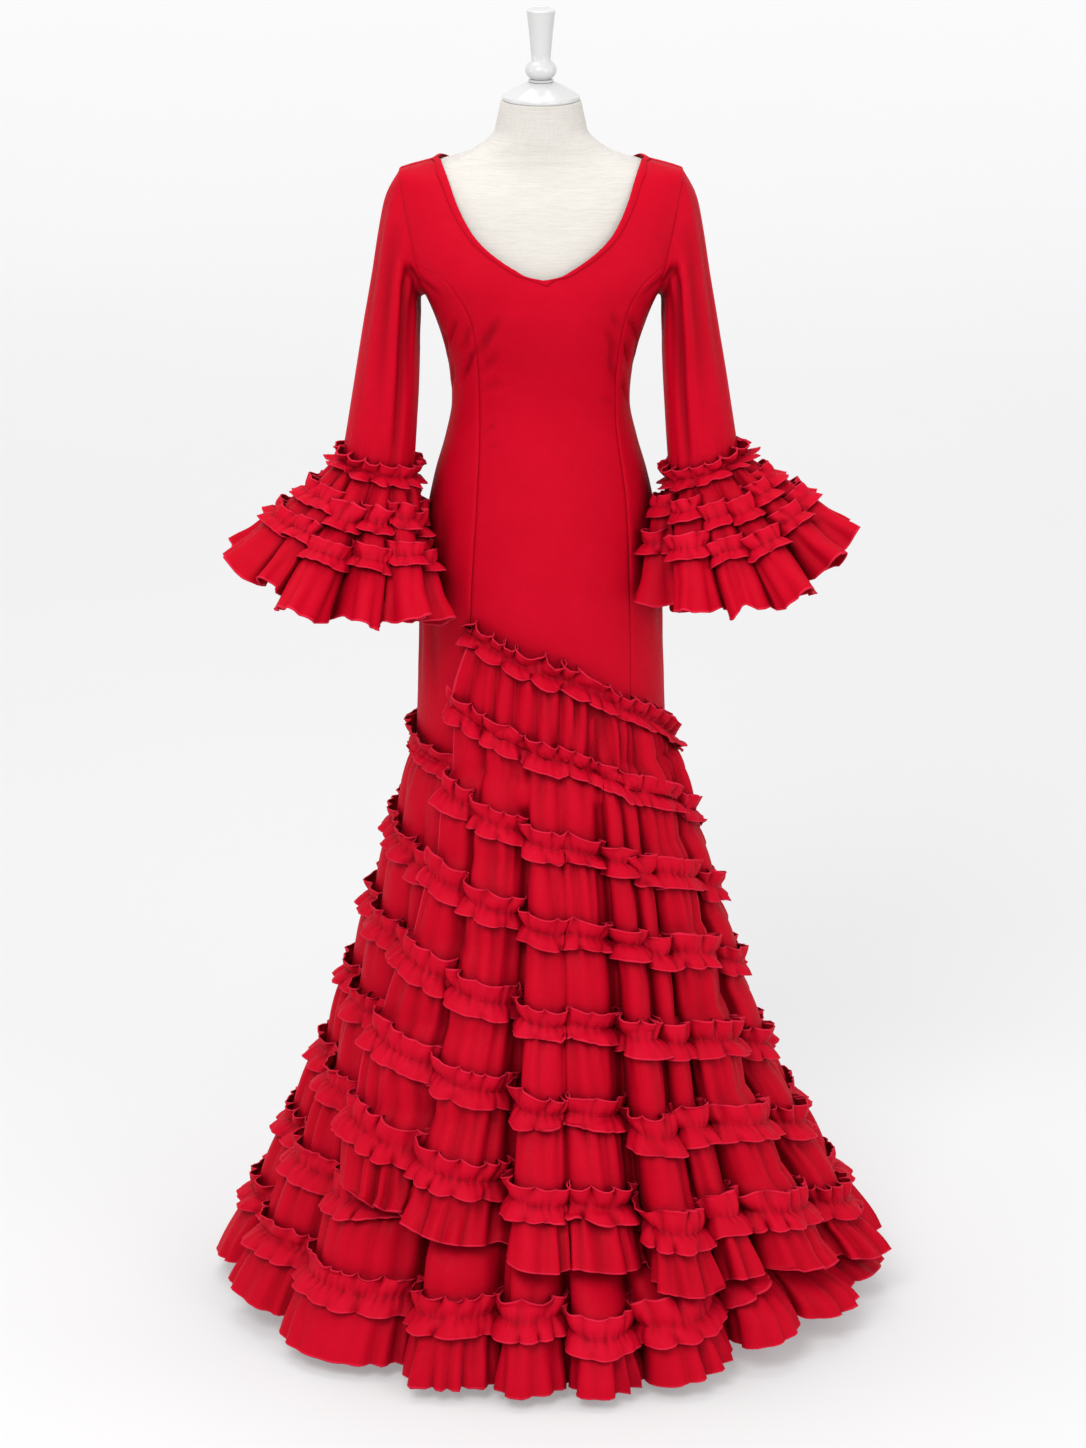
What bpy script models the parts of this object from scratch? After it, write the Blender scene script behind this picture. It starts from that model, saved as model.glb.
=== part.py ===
"""Flamenco dress standing on its dress form.  Blender 4.5, metres, +Z up.

The dress faces -Y; +X is its own left, and the right-hand side seen from the front.  The origin
is the middle of the form's base, on the floor.  Plan angles are in degrees from the front (-Y),
positive towards +X, so 90 is the +X side, 180 the back and 270 (or -90) the -X side.

Cloth pieces are mid-surfaces given a wall.  Pieces that meet at a seam stay SEAM_GAP apart, and
what lies on another piece is made from its points, moved out along its normals.
"""
import math

import bpy
import numpy as np

# ---------------------------------------------------------------- driving dimensions (metres)
WALL = 0.002
SEAM_GAP = 0.0003
LIE_ON = WALL + SEAM_GAP            # centre of a cloth lying on another, from that cloth's centre
PANEL_GAP = 0.0005                  # between the panels of the sheath
BENT = 0.00003                      # a quad with a corner this far out of plane is cut in two

HEM_Z = 0.024                       # front hem above the floor
SHEATH_BOTTOM = 0.775               # where the fitted sheath ends and the tiers begin

# The fitted dress, section by section: height, half width, depth in front, depth behind and
# squareness (2 is an ellipse).
SHEATH_SECTIONS = (
    # z      half_width front  back   square
    (0.775, 0.166, 0.142, 0.152, 2.0),
    (0.860, 0.1635, 0.130, 0.144, 2.0),
    (0.930, 0.1615, 0.119, 0.136, 2.0),
    (1.000, 0.159, 0.111, 0.127, 2.0),
    (1.050, 0.156, 0.106, 0.118, 2.0),
    (1.100, 0.1495, 0.101, 0.107, 2.0),
    (1.150, 0.139, 0.095, 0.095, 2.0),
    (1.200, 0.1245, 0.090, 0.086, 2.0),
    (1.250, 0.116, 0.088, 0.083, 2.0),
    (1.300, 0.1205, 0.097, 0.087, 2.0),
    (1.345, 0.132, 0.113, 0.094, 2.1),
    (1.392, 0.1508, 0.124, 0.101, 2.2),
    (1.425, 0.170, 0.123, 0.104, 2.4),
    (1.470, 0.183, 0.111, 0.106, 2.5),
    (1.510, 0.190, 0.094, 0.102, 2.5),
    (1.535, 0.190, 0.077, 0.092, 2.4),
    (1.553, 0.184, 0.059, 0.078, 2.3),
    (1.561, 0.158, 0.052, 0.069, 2.2),
    (1.568, 0.134, 0.049, 0.062, 2.1),
    (1.576, 0.108, 0.049, 0.058, 2.0),
    (1.588, 0.084, 0.050, 0.056, 2.0),
    (1.604, 0.065, 0.051, 0.055, 2.0),
    (1.640, 0.053, 0.051, 0.053, 2.0),
)

# Panel seams of the front, as distances from the middle, and of the back.
FRONT_SEAMS = (
    # z     left    right
    (0.775, 0.094, 0.118),
    (1.000, 0.092, 0.117),
    (1.130, 0.084, 0.111),
    (1.240, 0.080, 0.098),
    (1.330, 0.083, 0.101),
    (1.376, 0.091, 0.109),
    (1.406, 0.106, 0.121),
    (1.432, 0.130, 0.143),
)
FRONT_SEAM_TOP = 1.442              # where the seams run into the armholes
BACK_SEAMS = (
    # z     left    right
    (0.775, 0.088, 0.088),
    (1.000, 0.084, 0.084),
    (1.240, 0.062, 0.062),
    (1.380, 0.086, 0.086),
    (1.440, 0.116, 0.116),
)
BACK_SEAM_TOP = 1.475
NECKLINE_FRONT = (
    # z     from the middle
    (1.4335, 0.000),
    (1.437, 0.019),
    (1.4455, 0.0365),
    (1.457, 0.0555),
    (1.47, 0.073),
    (1.484, 0.087),
    (1.502, 0.099),
    (1.524, 0.11),
    (1.548, 0.1195),
    (1.568, 0.129),
)
NECKLINE_BACK = (
    (1.510, 0.000),
    (1.513, 0.035),
    (1.522, 0.070),
    (1.540, 0.100),
    (1.560, 0.1215),
    (1.568, 0.1290),
)
NECK_LEAN = 0.004                   # the point of the neckline sits this far towards +X

UNDERARM = (0.1508, 1.392)          # x and z of the armhole's lowest and highest points
SHOULDER = (0.1840, 1.553)

PANEL_HEIGHTS = (SHEATH_BOTTOM + SEAM_GAP, 0.890, 1.000, 1.075, 1.140, 1.190, 1.240, 1.285, 1.330, 1.376)
PANEL_COLUMNS = 4
SIDE_COLUMNS = 3
NECK_ROWS = 7
RIDGE_GAP = 0.12                    # degrees each side of the shoulder seam
BINDING_WIDTH = 0.007
BINDING_OFF = LIE_ON + 0.0008

# Skirt rows: height of each gathered row and radius of the cloth there.
SKIRT_ROWS = (
    # z      radius
    (0.775, 0.166),
    (0.668, 0.194),
    (0.560, 0.224),
    (0.455, 0.254),
    (0.342, 0.288),
    (0.235, 0.337),
    (0.125, 0.391),
    (HEM_Z, 0.447),
)
ROWS = len(SKIRT_ROWS) - 1
HEM_LIFT = (
    # plan angle, rise of the hem there
    (-100, 0.0), (-72, 0.020), (-50, 0.002), (-20, -0.004), (12, -0.006), (28, 0.004), (45, 0.022),
    (62, 0.018), (78, 0.014), (100, 0.0),
)
LAST_ROW_DROP = (
    # plan angle, how much lower the underskirt's last row hangs there
    (-100, 0.0), (-62, 0.001), (-40, 0.015), (-22, 0.019), (-1, 0.018), (9, 0.035), (21, 0.030),
    (30, 0.028), (37, 0.015), (44, 0.003), (50, 0.0), (100, 0.0),
)
TIER_BULGE = 0.008                  # each tier puffs out this much under its row
PLAIN_TIERS = 3                     # the uppermost tiers hang straight, the others are puffed out
PUFF_AT = 0.42                      # share of the way down a tier where it is fullest
SKIRT_PLAN = (
    # z      front  back   centre: depths as shares of the radius, and shift of the centre towards +X
    (0.775, 0.142 / 0.166, 0.152 / 0.166, 0.0),
    (0.560, 0.950, 0.970, 0.004),
    (0.340, 0.975, 1.000, 0.005),
    (0.235, 0.970, 1.000, 0.008),
    (0.125, 0.950, 0.990, 0.012),
    (HEM_Z, 0.930, 0.980, 0.0145),
)

# Deep folds of the skirt.  Angles where the cloth falls in, at the top and at the hem.
UNDER_FOLDS = (
    # top   hem   depth
    (-100, -100, 0.8),
    (-78, -78, 0.9),
    (-56, -56, 0.8),
    (-30, -27, 1.0),
    (-10, -10, 0.9),
    (3, 3, 0.8),
    (16, 16, 1.0),
    (36, 36, 0.9),
    (52, 52, 0.7),
    (72, 72, 0.9),
    (97, 97, 0.8),
    (123, 123, 1.0),
    (150, 150, 0.8),
    (178, 178, 1.0),
    (206, 206, 0.9),
    (233, 233, 1.0),
)
FLAP_FOLDS = (
    # top   hem   depth
    (-24, -32, 0.6),
    (-5, -9, 1.0),
    (8, 3.5, 0.6),
    (26, 20, 1.0),
    (33, 35, 0.6),
    (41, 46, 0.9),
    (68, 70, 0.9),
)
FLAP_TUBES = (
    # how much lower the rows hang on each tube of the flap
    # at its seam, half way, at the hem
    (0.000, 0.000, 0.010),
    (0.000, 0.000, 0.008),
    (-0.004, 0.002, 0.007),
    (-0.010, -0.008, -0.002),
    (-0.008, -0.014, 0.012),
    (-0.003, -0.008, -0.008),
    (-0.006, -0.019, -0.012),
    (-0.003, -0.008, -0.002),
)
FOLD_DEPTH = ((0.775, 0.0015), (0.56, 0.0175), (0.34, 0.030), (0.125, 0.044), (HEM_Z, 0.048))
CREST_SHARE = 0.22                  # how much of a fold's depth stands proud of the plain skirt
SAMPLES_PER_FOLD = 3

# The flap: an overskirt seamed slantwise on the sheath and caught in the +X side seam.
FLAP_END = 89.4
FLAP_START = ((0.0, -33.5), (0.17, -41), (0.30, -40.7), (0.45, -41.5), (0.58, -45.5), (0.75, -52),
              (0.90, -52.5), (1.0, -48.5))       # share of the way down, angle of the free edge
FLAP_RISE = 0.195                   # the flap's rows climb this much from the side seam to -45 deg
FLAP_RISE_SPAN = 135.0
FLAP_HEM_DROP = 0.078               # hem below the flap's last row
FLAP_ON_SHEATH = LIE_ON + 0.0012
FLAP_STAND_OFF = ((0.0, FLAP_ON_SHEATH), (0.05, 0.008), (0.20, 0.010), (0.60, 0.014), (0.80, 0.020))
UNDER_INSET = 0.034                 # how far the underskirt lies back beneath the flap
FLAP_CLEAR = 0.004                  # flap above the bare underskirt
STRIP_ROOM = 0.007                  # and above the pressed strips that run under it
FLAP_DEEPEST = -0.030

# Ruffle strips: gathered along the middle, both edges free.
STRIP_HALF = ((0.775, 0.025), (0.455, 0.027), (0.125, 0.031))
STRIP_FLARE = 0.0095                # mean distance of the free edges from the cloth
STRIP_WAVE = 0.0060
SAMPLES_PER_WAVE = 4
STRIP_PRESSED = 0.22                # share of its fullness that a strip keeps beneath the flap
STRIP_OFF = LIE_ON + 0.0005         # a strip's middle line above the seam that it covers
STRIP_SEAM_GAP = 0.9                # degrees from the side seam to an underskirt strip's end
FLAP_STRIP_SHORT = 0.12             # and the flap's, as a share of its last column
STRIP_PAST_FLAP = 7.0               # degrees an underskirt strip runs on beneath the flap
STRIP_LAST_ENDS = {5: 3.0, 6: 52.0}  # the two lowest show below the flap and run further

# Sleeves (the +X one; the other is its mirror): outer and inner point of each ring.
SLEEVE_RINGS = (
    # outer x  outer z  inner x  inner z  half depth  y
    (0.1995, 1.5200, 0.1555, 1.3870, 0.061, 0.004),
    (0.2095, 1.4750, 0.1575, 1.3770, 0.065, 0.002),
    (0.2185, 1.4200, 0.1575, 1.3600, 0.066, -0.002),
    (0.2300, 1.3550, 0.1580, 1.3300, 0.062, -0.008),
    (0.2435, 1.2750, 0.1600, 1.2600, 0.055, -0.017),
)
SLEEVE_SEGMENTS = 16
ARMHOLE_GAP = 0.0014

# Cuffs: the bell of ruffles on each sleeve.
CUFF_TOP = (0.2135, -0.030, 1.167)
CUFF_LEAN_FORWARD = 10.0            # degrees
CUFFS = {
    # side: lean outwards, tilt of its rings, width
    -1: (18.0, 13.0, 1.03),
    1: (24.0, 19.0, 0.97),
}
CUFF_ROWS = (
    # along   radius
    (0.000, 0.0470),
    (0.046, 0.0725),
    (0.087, 0.0990),
    (0.160, 0.1350),
)
CUFF_DEPTH = 1.18                   # its rings are this much deeper front to back
CUFF_FOLDS = (0, 47, 98, 150, 203, 255, 308)     # from the outer side, towards the front
CUFF_FOLD_DEPTH = ((0.0, 0.0), (0.056, 0.006), (0.158, 0.020))
CUFF_STRIP_HALF = 0.023
CUFF_BACK_DROP = 0.020
CUFF_BACK_AT = 245.0
CUFF_WAVES = 5
CUFF_STRIP_FLARE = 0.008
CUFF_FROM_BODY = 0.017              # cuff cloth that would enter the body lies this far off it
CUFF_STRIP_FROM_BODY = 0.005

# The form.
FORM_BOTTOM = 0.800
NECK_RADIUS = 0.0515
CAP_RADIUS = 0.0500
CAP_HEIGHT = 0.023
COLLAR_RADIUS = 0.0165
KNOB_RADIUS = 0.0203
KNOB_HEIGHT = 0.024
FINIAL_TOP = 1.760
FORM_CLEARANCE = ((0.80, 0.0120), (1.15, 0.0115), (1.30, 0.0075), (1.42, 0.0095), (1.50, 0.0085),
                  (1.545, 0.0035), (1.568, 0.0028), (1.58, 0.0040))
FORM_HEIGHTS = (0.89, 1.00, 1.075, 1.14, 1.19, 1.24, 1.285, 1.33, 1.376, 1.42, 1.465,
                1.505, 1.535, 1.550, 1.558, 1.566, 1.576, 1.590, 1.606)
FORM_SEGMENTS = 24
NECK_TOP = 1.644
POLE_RADIUS = 0.016
BASE_RADIUS = 0.170
BASE_HEIGHT = 0.014

RED = (0.66, 0.005, 0.025, 1.0)
LINEN = (0.82, 0.77, 0.72, 1.0)
GLOSS_WHITE = (0.88, 0.88, 0.88, 1.0)
PALE_METAL = (0.75, 0.75, 0.76, 1.0)


# ---------------------------------------------------------------- general helpers
def smooth_curve(points, column=1):
    """A smooth curve through the rows of a table, by its first column."""
    rows = sorted(points)
    xs = np.array([row[0] for row in rows], float)
    ys = np.array([row[column] for row in rows], float)
    step = np.diff(xs)
    rise = np.diff(ys) / step
    slope = np.concatenate([rise[:1], (rise[:-1] + rise[1:]) / 2, rise[-1:]])
    turns = np.where(rise[:-1] * rise[1:] <= 0)[0] + 1
    slope[turns] = 0.0

    def value(x):
        x = np.clip(np.asarray(x, float), xs[0], xs[-1])
        i = np.clip(np.searchsorted(xs, x) - 1, 0, len(step) - 1)
        t = (x - xs[i]) / step[i]
        return ((2 * t**3 - 3 * t**2 + 1) * ys[i] + (t**3 - 2 * t**2 + t) * step[i] * slope[i]
                + (3 * t**2 - 2 * t**3) * ys[i + 1] + (t**3 - t**2) * step[i] * slope[i + 1])

    return value


def ease(x, start, end):
    """0 before start, 1 after end, smooth between."""
    t = np.clip((np.asarray(x, float) - start) / (end - start), 0.0, 1.0)
    return t * t * (3 - 2 * t)


def unit(vectors):
    return vectors / np.linalg.norm(vectors, axis=-1, keepdims=True)


def material(name, colour, roughness):
    made = bpy.data.materials.new(name)
    made.use_nodes = True
    shader = made.node_tree.nodes["Principled BSDF"]
    shader.inputs["Base Color"].default_value = colour
    shader.inputs["Roughness"].default_value = roughness
    return made


def add_object(name, points, faces, surface):
    mesh = bpy.data.meshes.new(name)
    mesh.from_pydata([tuple(p) for p in points], [], faces)
    mesh.validate()
    made = bpy.data.objects.new(name, mesh)
    made.data.materials.append(surface)
    bpy.context.scene.collection.objects.link(made)
    return made


def grid_faces(rows, columns, closed):
    """Quads of a grid of points, row by row; closed joins the last column to the first."""
    last = columns if closed else columns - 1
    return [(r * columns + c, r * columns + (c + 1) % columns,
             (r + 1) * columns + (c + 1) % columns, (r + 1) * columns + c)
            for r in range(rows - 1) for c in range(last)]


def vertex_normals(points, faces):
    normals = np.zeros_like(points)
    for face in faces:
        a, b, c = (points[face[i]] for i in (0, 1, 2))
        cross = np.cross(b - a, points[face[-1]] - a) + np.cross(c - b, a - b)
        for i in face:
            normals[i] += cross
    return unit(normals)


def flat_faces(points, faces):
    """The same faces, with each quad that is bent cut along a diagonal."""
    made = []
    for face in faces:
        a, b, c, d = points[list(face)] if len(face) == 4 else points[[face[0], *face]]
        square = np.cross(c - a, d - b)
        if len(face) == 4 and abs(np.dot(square, b - a)) > BENT * np.linalg.norm(square):
            made += [(face[0], face[1], face[2]), (face[0], face[2], face[3])]
        else:
            made.append(face)
    return made


def cloth(name, points, faces, surface, out=None):
    """A closed wall round a mid-surface whose faces look outwards."""
    points = np.asarray(points, float).reshape(-1, 3)
    out = vertex_normals(points, faces) if out is None else np.asarray(out).reshape(-1, 3)
    count = len(points)
    shell = np.concatenate([points + out * WALL / 2, points - out * WALL / 2])
    faces = flat_faces(points, faces)
    edges = {(f[i], f[(i + 1) % len(f)]) for f in faces for i in range(len(f))}
    rims = [(b, a, a + count, b + count) for a, b in sorted(edges) if (b, a) not in edges]
    inner = [tuple(i + count for i in reversed(f)) for f in faces]
    return add_object(name, shell, faces + inner + flat_faces(shell, rims), surface)


def turned(name, profile, surface, segments):
    """A solid of revolution about Z; profile runs up its outside as (radius, z)."""
    angles = np.radians(np.arange(segments) * 360.0 / segments)
    points = [(r * math.sin(a), -r * math.cos(a), z) for r, z in profile for a in angles]
    faces = grid_faces(len(profile), segments, True)
    last = (len(profile) - 1) * segments
    faces.append(tuple(reversed(range(segments))))
    faces.append(tuple(last + i for i in range(segments)))
    return add_object(name, points, faces, surface)


# ---------------------------------------------------------------- the fitted sheath
half_width = smooth_curve(SHEATH_SECTIONS, 1)
depth_front = smooth_curve(SHEATH_SECTIONS, 2)
depth_back = smooth_curve(SHEATH_SECTIONS, 3)
squareness = smooth_curve(SHEATH_SECTIONS, 4)


def sheath_point(angle, z):
    """Point of the fitted dress at a section's own angle (degrees) and a height."""
    sine = np.sin(np.radians(angle))
    cosine = np.cos(np.radians(angle))
    power = 2.0 / squareness(z)
    depth = np.where(cosine > 0, depth_front(z), depth_back(z))
    x = half_width(z) * np.sign(sine) * np.abs(sine) ** power
    y = -depth * np.sign(cosine) * np.abs(cosine) ** power
    return np.stack([x, y, z + 0.0 * x], axis=-1)


def sheath_normal(angle, z):
    small = 1e-3
    across = sheath_point(angle + small, z) - sheath_point(angle - small, z)
    top = SHEATH_SECTIONS[-1][0]
    up = (sheath_point(angle, np.minimum(z + small, top))
          - sheath_point(angle, np.minimum(z + small, top) - 2 * small))
    return unit(np.cross(across, up))


def angle_at(x, z, back=False):
    """Section angle (0..90 in front, 90..180 behind) where the sheath is x from the middle."""
    share = np.clip(x / half_width(z), 0.0, 1.0)
    angle = math.degrees(math.asin(share ** (squareness(z) / 2)))
    return 180.0 - angle if back else angle


def armhole_x(z):
    t = (z - UNDERARM[1]) / (SHOULDER[1] - UNDERARM[1])
    return UNDERARM[0] + t * (SHOULDER[0] - UNDERARM[0])


def armhole_angle(z, back=False):
    if z <= UNDERARM[1] or z >= SHOULDER[1]:
        return 90.0
    return angle_at(armhole_x(z), z, back)


def seam_table(back, side):
    """Distance of a panel seam from the middle, by height, and the height where it ends."""
    seams, top = (BACK_SEAMS, BACK_SEAM_TOP) if back else (FRONT_SEAMS, FRONT_SEAM_TOP)
    ends = seams + ((top, armhole_x(top), armhole_x(top)),)
    return smooth_curve(ends, 1 if side < 0 else 2), top


def centre_rows(back, side):
    """Rows of a centre panel's half: ((angle, z) at the middle or neck, (angle, z) outside)."""
    seam, seam_top = seam_table(back, side)
    neck = NECKLINE_BACK if back else NECKLINE_FRONT
    neck_x = smooth_curve(neck)
    neck_low, neck_high = neck[0][0], neck[-1][0]
    lean = 0.0 if back else side * NECK_LEAN

    def middle(z):
        angle = math.degrees(lean * float(ease(z, 1.25, neck_low)) / float(half_width(z)))
        return 180.0 if back else angle

    rows = [((middle(z), z), (angle_at(seam(z), z, back), z)) for z in PANEL_HEIGHTS]
    for inner_z, outer_z in zip(np.linspace(PANEL_HEIGHTS[-1], neck_low, 4)[1:3],
                                np.linspace(PANEL_HEIGHTS[-1], seam_top, 4)[1:3]):
        rows.append(((middle(inner_z), inner_z), (angle_at(seam(outer_z), outer_z, back), outer_z)))
    shared = len(rows) + 1
    for share in 1 - (1 - np.arange(NECK_ROWS) / NECK_ROWS) ** 2:
        z_in = neck_low + share * (neck_high - neck_low)
        z_out = seam_top + share * (SHOULDER[1] - seam_top)
        x_in = float(neck_x(z_in)) + lean * (1 - share)
        angle_in = middle(z_in) if share == 0 else angle_at(x_in, z_in, back)
        rows.append(((angle_in, z_in), (armhole_angle(z_out, back), z_out)))
    ridge = 90.0 + (RIDGE_GAP if back else -RIDGE_GAP)
    rows.append(((ridge, neck_high), (ridge, SHOULDER[1])))
    return rows, shared


def side_rows(back, side):
    """Rows of a side panel, from the panel seam to the side seam or the armhole."""
    seam, seam_top = seam_table(back, side)
    rows = [((angle_at(seam(z), z, back), z), (90.0, z)) for z in PANEL_HEIGHTS]
    for seam_z, arm_z in zip(np.linspace(PANEL_HEIGHTS[-1], seam_top, 4)[1:],
                             np.linspace(UNDERARM[1], seam_top, 4)):
        rows.append(((angle_at(seam(seam_z), seam_z, back), seam_z), (armhole_angle(arm_z, back), arm_z)))
    return rows


def panel_points(rows, columns, side, inner_gap):
    """Points and outward directions of each row, a hair short of the seams."""
    points, out = [], []
    for (angle_in, z_in), (angle_out, z_out) in rows:
        ends = sheath_point(np.array([angle_in, angle_out]), np.array([z_in, z_out]))
        length = float(np.linalg.norm(ends[1] - ends[0]))
        shares = np.linspace(inner_gap / length, 1.0 - PANEL_GAP / 2 / length, columns)
        angle = angle_in + shares * (angle_out - angle_in)
        z = z_in + shares * (z_out - z_in)
        points.append(sheath_point(angle, z))
        out.append(sheath_normal(angle, z))
    mirror = np.array([side, 1.0, 1.0])
    return np.array(points) * mirror, np.array(out) * mirror


def side_name(side):
    return "left" if side > 0 else "right"


def front_centre(surface):
    points, out, faces, index = [], [], [], {}
    for side in (-1, 1):
        rows, shared = centre_rows(False, side)
        grid, normals = panel_points(rows, PANEL_COLUMNS, side, 0.0)
        for r in range(len(rows)):
            for c in range(PANEL_COLUMNS):
                if side > 0 and c == 0 and r < shared:
                    index[side, r, c] = index[-1, r, c]
                else:
                    index[side, r, c] = len(points)
                    points.append(grid[r, c])
                    out.append(normals[r, c])
        for r in range(len(rows) - 1):
            for c in range(PANEL_COLUMNS - 1):
                quad = (index[side, r, c], index[side, r, c + 1],
                        index[side, r + 1, c + 1], index[side, r + 1, c])
                faces.append(quad if side > 0 else quad[::-1])
    return cloth("front_centre", points, faces, surface, out)


def panel(name, rows, columns, side, back, surface):
    grid, out = panel_points(rows, columns, side, PANEL_GAP / 2)
    faces = grid_faces(len(rows), columns, False)
    if (side > 0) == back:
        faces = [f[::-1] for f in faces]
    return cloth(name, grid, faces, surface, out)


def bodice(surface):
    front_centre(surface)
    for side in (-1, 1):
        hand = side_name(side)
        panel(f"back_centre_{hand}", centre_rows(True, side)[0], PANEL_COLUMNS, side, True, surface)
        for back in (False, True):
            name = f"{'back' if back else 'front'}_side_{hand}"
            panel(name, side_rows(back, side), SIDE_COLUMNS, side, back, surface)


def binding_edge(back, side):
    """Pairs of points, at the neck's edge and BINDING_WIDTH outside it, from the middle up."""
    rows, shared = centre_rows(back, side)
    pairs = []
    for (angle_in, z_in), (angle_out, z_out) in rows[shared - 1:]:
        ends = sheath_point(np.array([angle_in, angle_out]), np.array([z_in, z_out]))
        width = BINDING_WIDTH / float(np.linalg.norm(ends[1] - ends[0]))
        share = np.array([0.0, width])
        angle = angle_in + share * (angle_out - angle_in)
        z = z_in + share * (z_out - z_in)
        pair = sheath_point(angle, z) + BINDING_OFF * sheath_normal(angle, z)
        pairs.append(pair * np.array([side, 1.0, 1.0]))
    # at the middle the strip lies straight below the edge
    low = rows[shared - 1][0]
    under = sheath_point(low[0], low[1] - BINDING_WIDTH) + BINDING_OFF * sheath_normal(low[0], low[1])
    pairs[0][1] = under * np.array([side, 1.0, 1.0])
    return pairs


def neck_binding(surface):
    """The bias binding, a closed ring lying along the edge of the neckline."""
    ring = []
    for back, side, reverse in ((False, 1, False), (True, 1, True), (True, -1, False), (False, -1, True)):
        pairs = binding_edge(back, side)
        ring += pairs[:0:-1] if reverse else pairs[:-1]
    count = len(ring)
    points = [pair[0] for pair in ring] + [pair[1] for pair in ring]
    faces = [(i, i + count, (i + 1) % count + count, (i + 1) % count) for i in range(count)]
    return cloth("neck_binding", points, faces, surface)


# ---------------------------------------------------------------- skirt surfaces
fold_depth = smooth_curve(FOLD_DEPTH)
flap_start = smooth_curve(FLAP_START)
flap_stand_off = smooth_curve(FLAP_STAND_OFF)
strip_half = smooth_curve(STRIP_HALF)
plan_front = smooth_curve(SKIRT_PLAN, 1)
plan_back = smooth_curve(SKIRT_PLAN, 2)
plan_centre = smooth_curve(SKIRT_PLAN, 3)
hem_lift = smooth_curve(HEM_LIFT)
last_row_drop = smooth_curve(LAST_ROW_DROP)
ROW_Z = np.array([row[0] for row in SKIRT_ROWS])
ROW_RADIUS = np.array([row[1] for row in SKIRT_ROWS])
FLAP_LENGTH = ROW_Z[0] - ROW_Z[ROWS - 1] + FLAP_HEM_DROP


def skirt_radius(z):
    """Radius of the plain skirt at the side, puffed out under each gathered row."""
    z = np.asarray(z, float)
    i = np.clip(np.searchsorted(-ROW_Z, -z, side="right"), 1, ROWS)
    down = np.clip((ROW_Z[i - 1] - z) / (ROW_Z[i - 1] - ROW_Z[i]), 0.0, 1.0)
    return (ROW_RADIUS[i - 1] + down * (ROW_RADIUS[i] - ROW_RADIUS[i - 1])
            + TIER_BULGE * np.sin(math.pi * down ** 0.7))


def plan_point(angle, radius, z):
    """Point at a plan angle; the plan narrows front to back towards the hips."""
    angle = np.radians(angle)
    depth = np.where(np.cos(angle) > 0, plan_front(z), plan_back(z))
    x = plan_centre(z) + radius * np.sin(angle)
    return np.stack(np.broadcast_arrays(x, -radius * depth * np.cos(angle), z), axis=-1)


def folds(place, share, starts, deep):
    """Angle and unit height of the cloth; place counts folds, its fraction runs across one."""
    i = np.clip(np.floor(place).astype(int), 0, len(deep) - 2)
    t = np.clip(place - i, 0.0, 1.0)
    first, last = starts(i, share), starts(i + 1, share)
    crest = np.sin(math.pi * t) ** 0.55
    height = CREST_SHARE - (deep[i] + t * (deep[i + 1] - deep[i])) * (1 - crest)
    return first + t * (last - first), height


UNDER_TOP = np.array([row[0] for row in UNDER_FOLDS] + [UNDER_FOLDS[0][0] + 360.0])
UNDER_HEM = np.array([row[1] for row in UNDER_FOLDS] + [UNDER_FOLDS[0][1] + 360.0])
UNDER_DEEP = np.array([row[2] for row in UNDER_FOLDS] + [UNDER_FOLDS[0][2]])
FLAP_TOP = np.array([0.0] + [row[0] for row in FLAP_FOLDS] + [FLAP_END])
FLAP_HEM = np.array([0.0] + [row[1] for row in FLAP_FOLDS] + [FLAP_END])
FLAP_DEEP = np.array([0.1] + [row[2] for row in FLAP_FOLDS] + [0.3])
TUBE_HANG = np.array(FLAP_TUBES)


def under_starts(i, share):
    return UNDER_TOP[i] + share * (UNDER_HEM[i] - UNDER_TOP[i])


def flap_starts(i, share):
    return np.where(i == 0, flap_start(share), FLAP_TOP[i] + share * (FLAP_HEM[i] - FLAP_TOP[i]))


def flap_rise(angle):
    """How much higher a flap row runs than the underskirt's row of the same number."""
    return 0.005 + FLAP_RISE * (FLAP_END - angle) / FLAP_RISE_SPAN


def wound(angle):
    return (angle + 180.0) % 360.0 - 180.0


def tube_drop(place, share):
    """How much lower a flap row hangs on its tube; the rows step at the valleys between tubes."""
    i = np.clip(np.floor(place).astype(int), 0, len(FLAP_TUBES) - 1)
    t = place - i
    hang = [TUBE_HANG[j, 0] + (TUBE_HANG[j, 1] - TUBE_HANG[j, 0]) * ease(share, 0.0, 0.5)
            + (TUBE_HANG[j, 2] - TUBE_HANG[j, 1]) * ease(share, 0.5, 0.85)
            for j in (i, np.maximum(i - 1, 0), np.minimum(i + 1, len(FLAP_TUBES) - 1))]
    before, after = 0.5 * (1 - ease(t, 0.0, 0.16)), 0.5 * ease(t, 0.84, 1.0)
    return hang[0] * (1 - before - after) + hang[1] * before + hang[2] * after


def covered(angle, z):
    """How much of an underskirt point lies beneath the flap, 0 to 1."""
    angle = wound(angle)
    share = np.clip((ROW_Z[0] + flap_rise(angle) - z) / FLAP_LENGTH, 0.0, 1.0)
    start = flap_start(share)
    hem = ROW_Z[0] - FLAP_LENGTH + flap_rise(angle)
    across = ease(angle, start - 6, start + 10) * (1 - ease(angle, 70, 92))
    return across * ease(-z, -SHEATH_BOTTOM, -0.62) * ease(z, hem - 0.05, hem + 0.03)


def row_drop(number, angle):
    """How much lower an underskirt row hangs than its stated height."""
    return last_row_drop(angle) if number == ROWS - 1 else 0.0 * angle


def under_radius(angle, height, z):
    hidden = covered(angle, z)
    return skirt_radius(z) - UNDER_INSET * hidden + fold_depth(z) * (1 - 0.8 * hidden) * height


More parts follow.
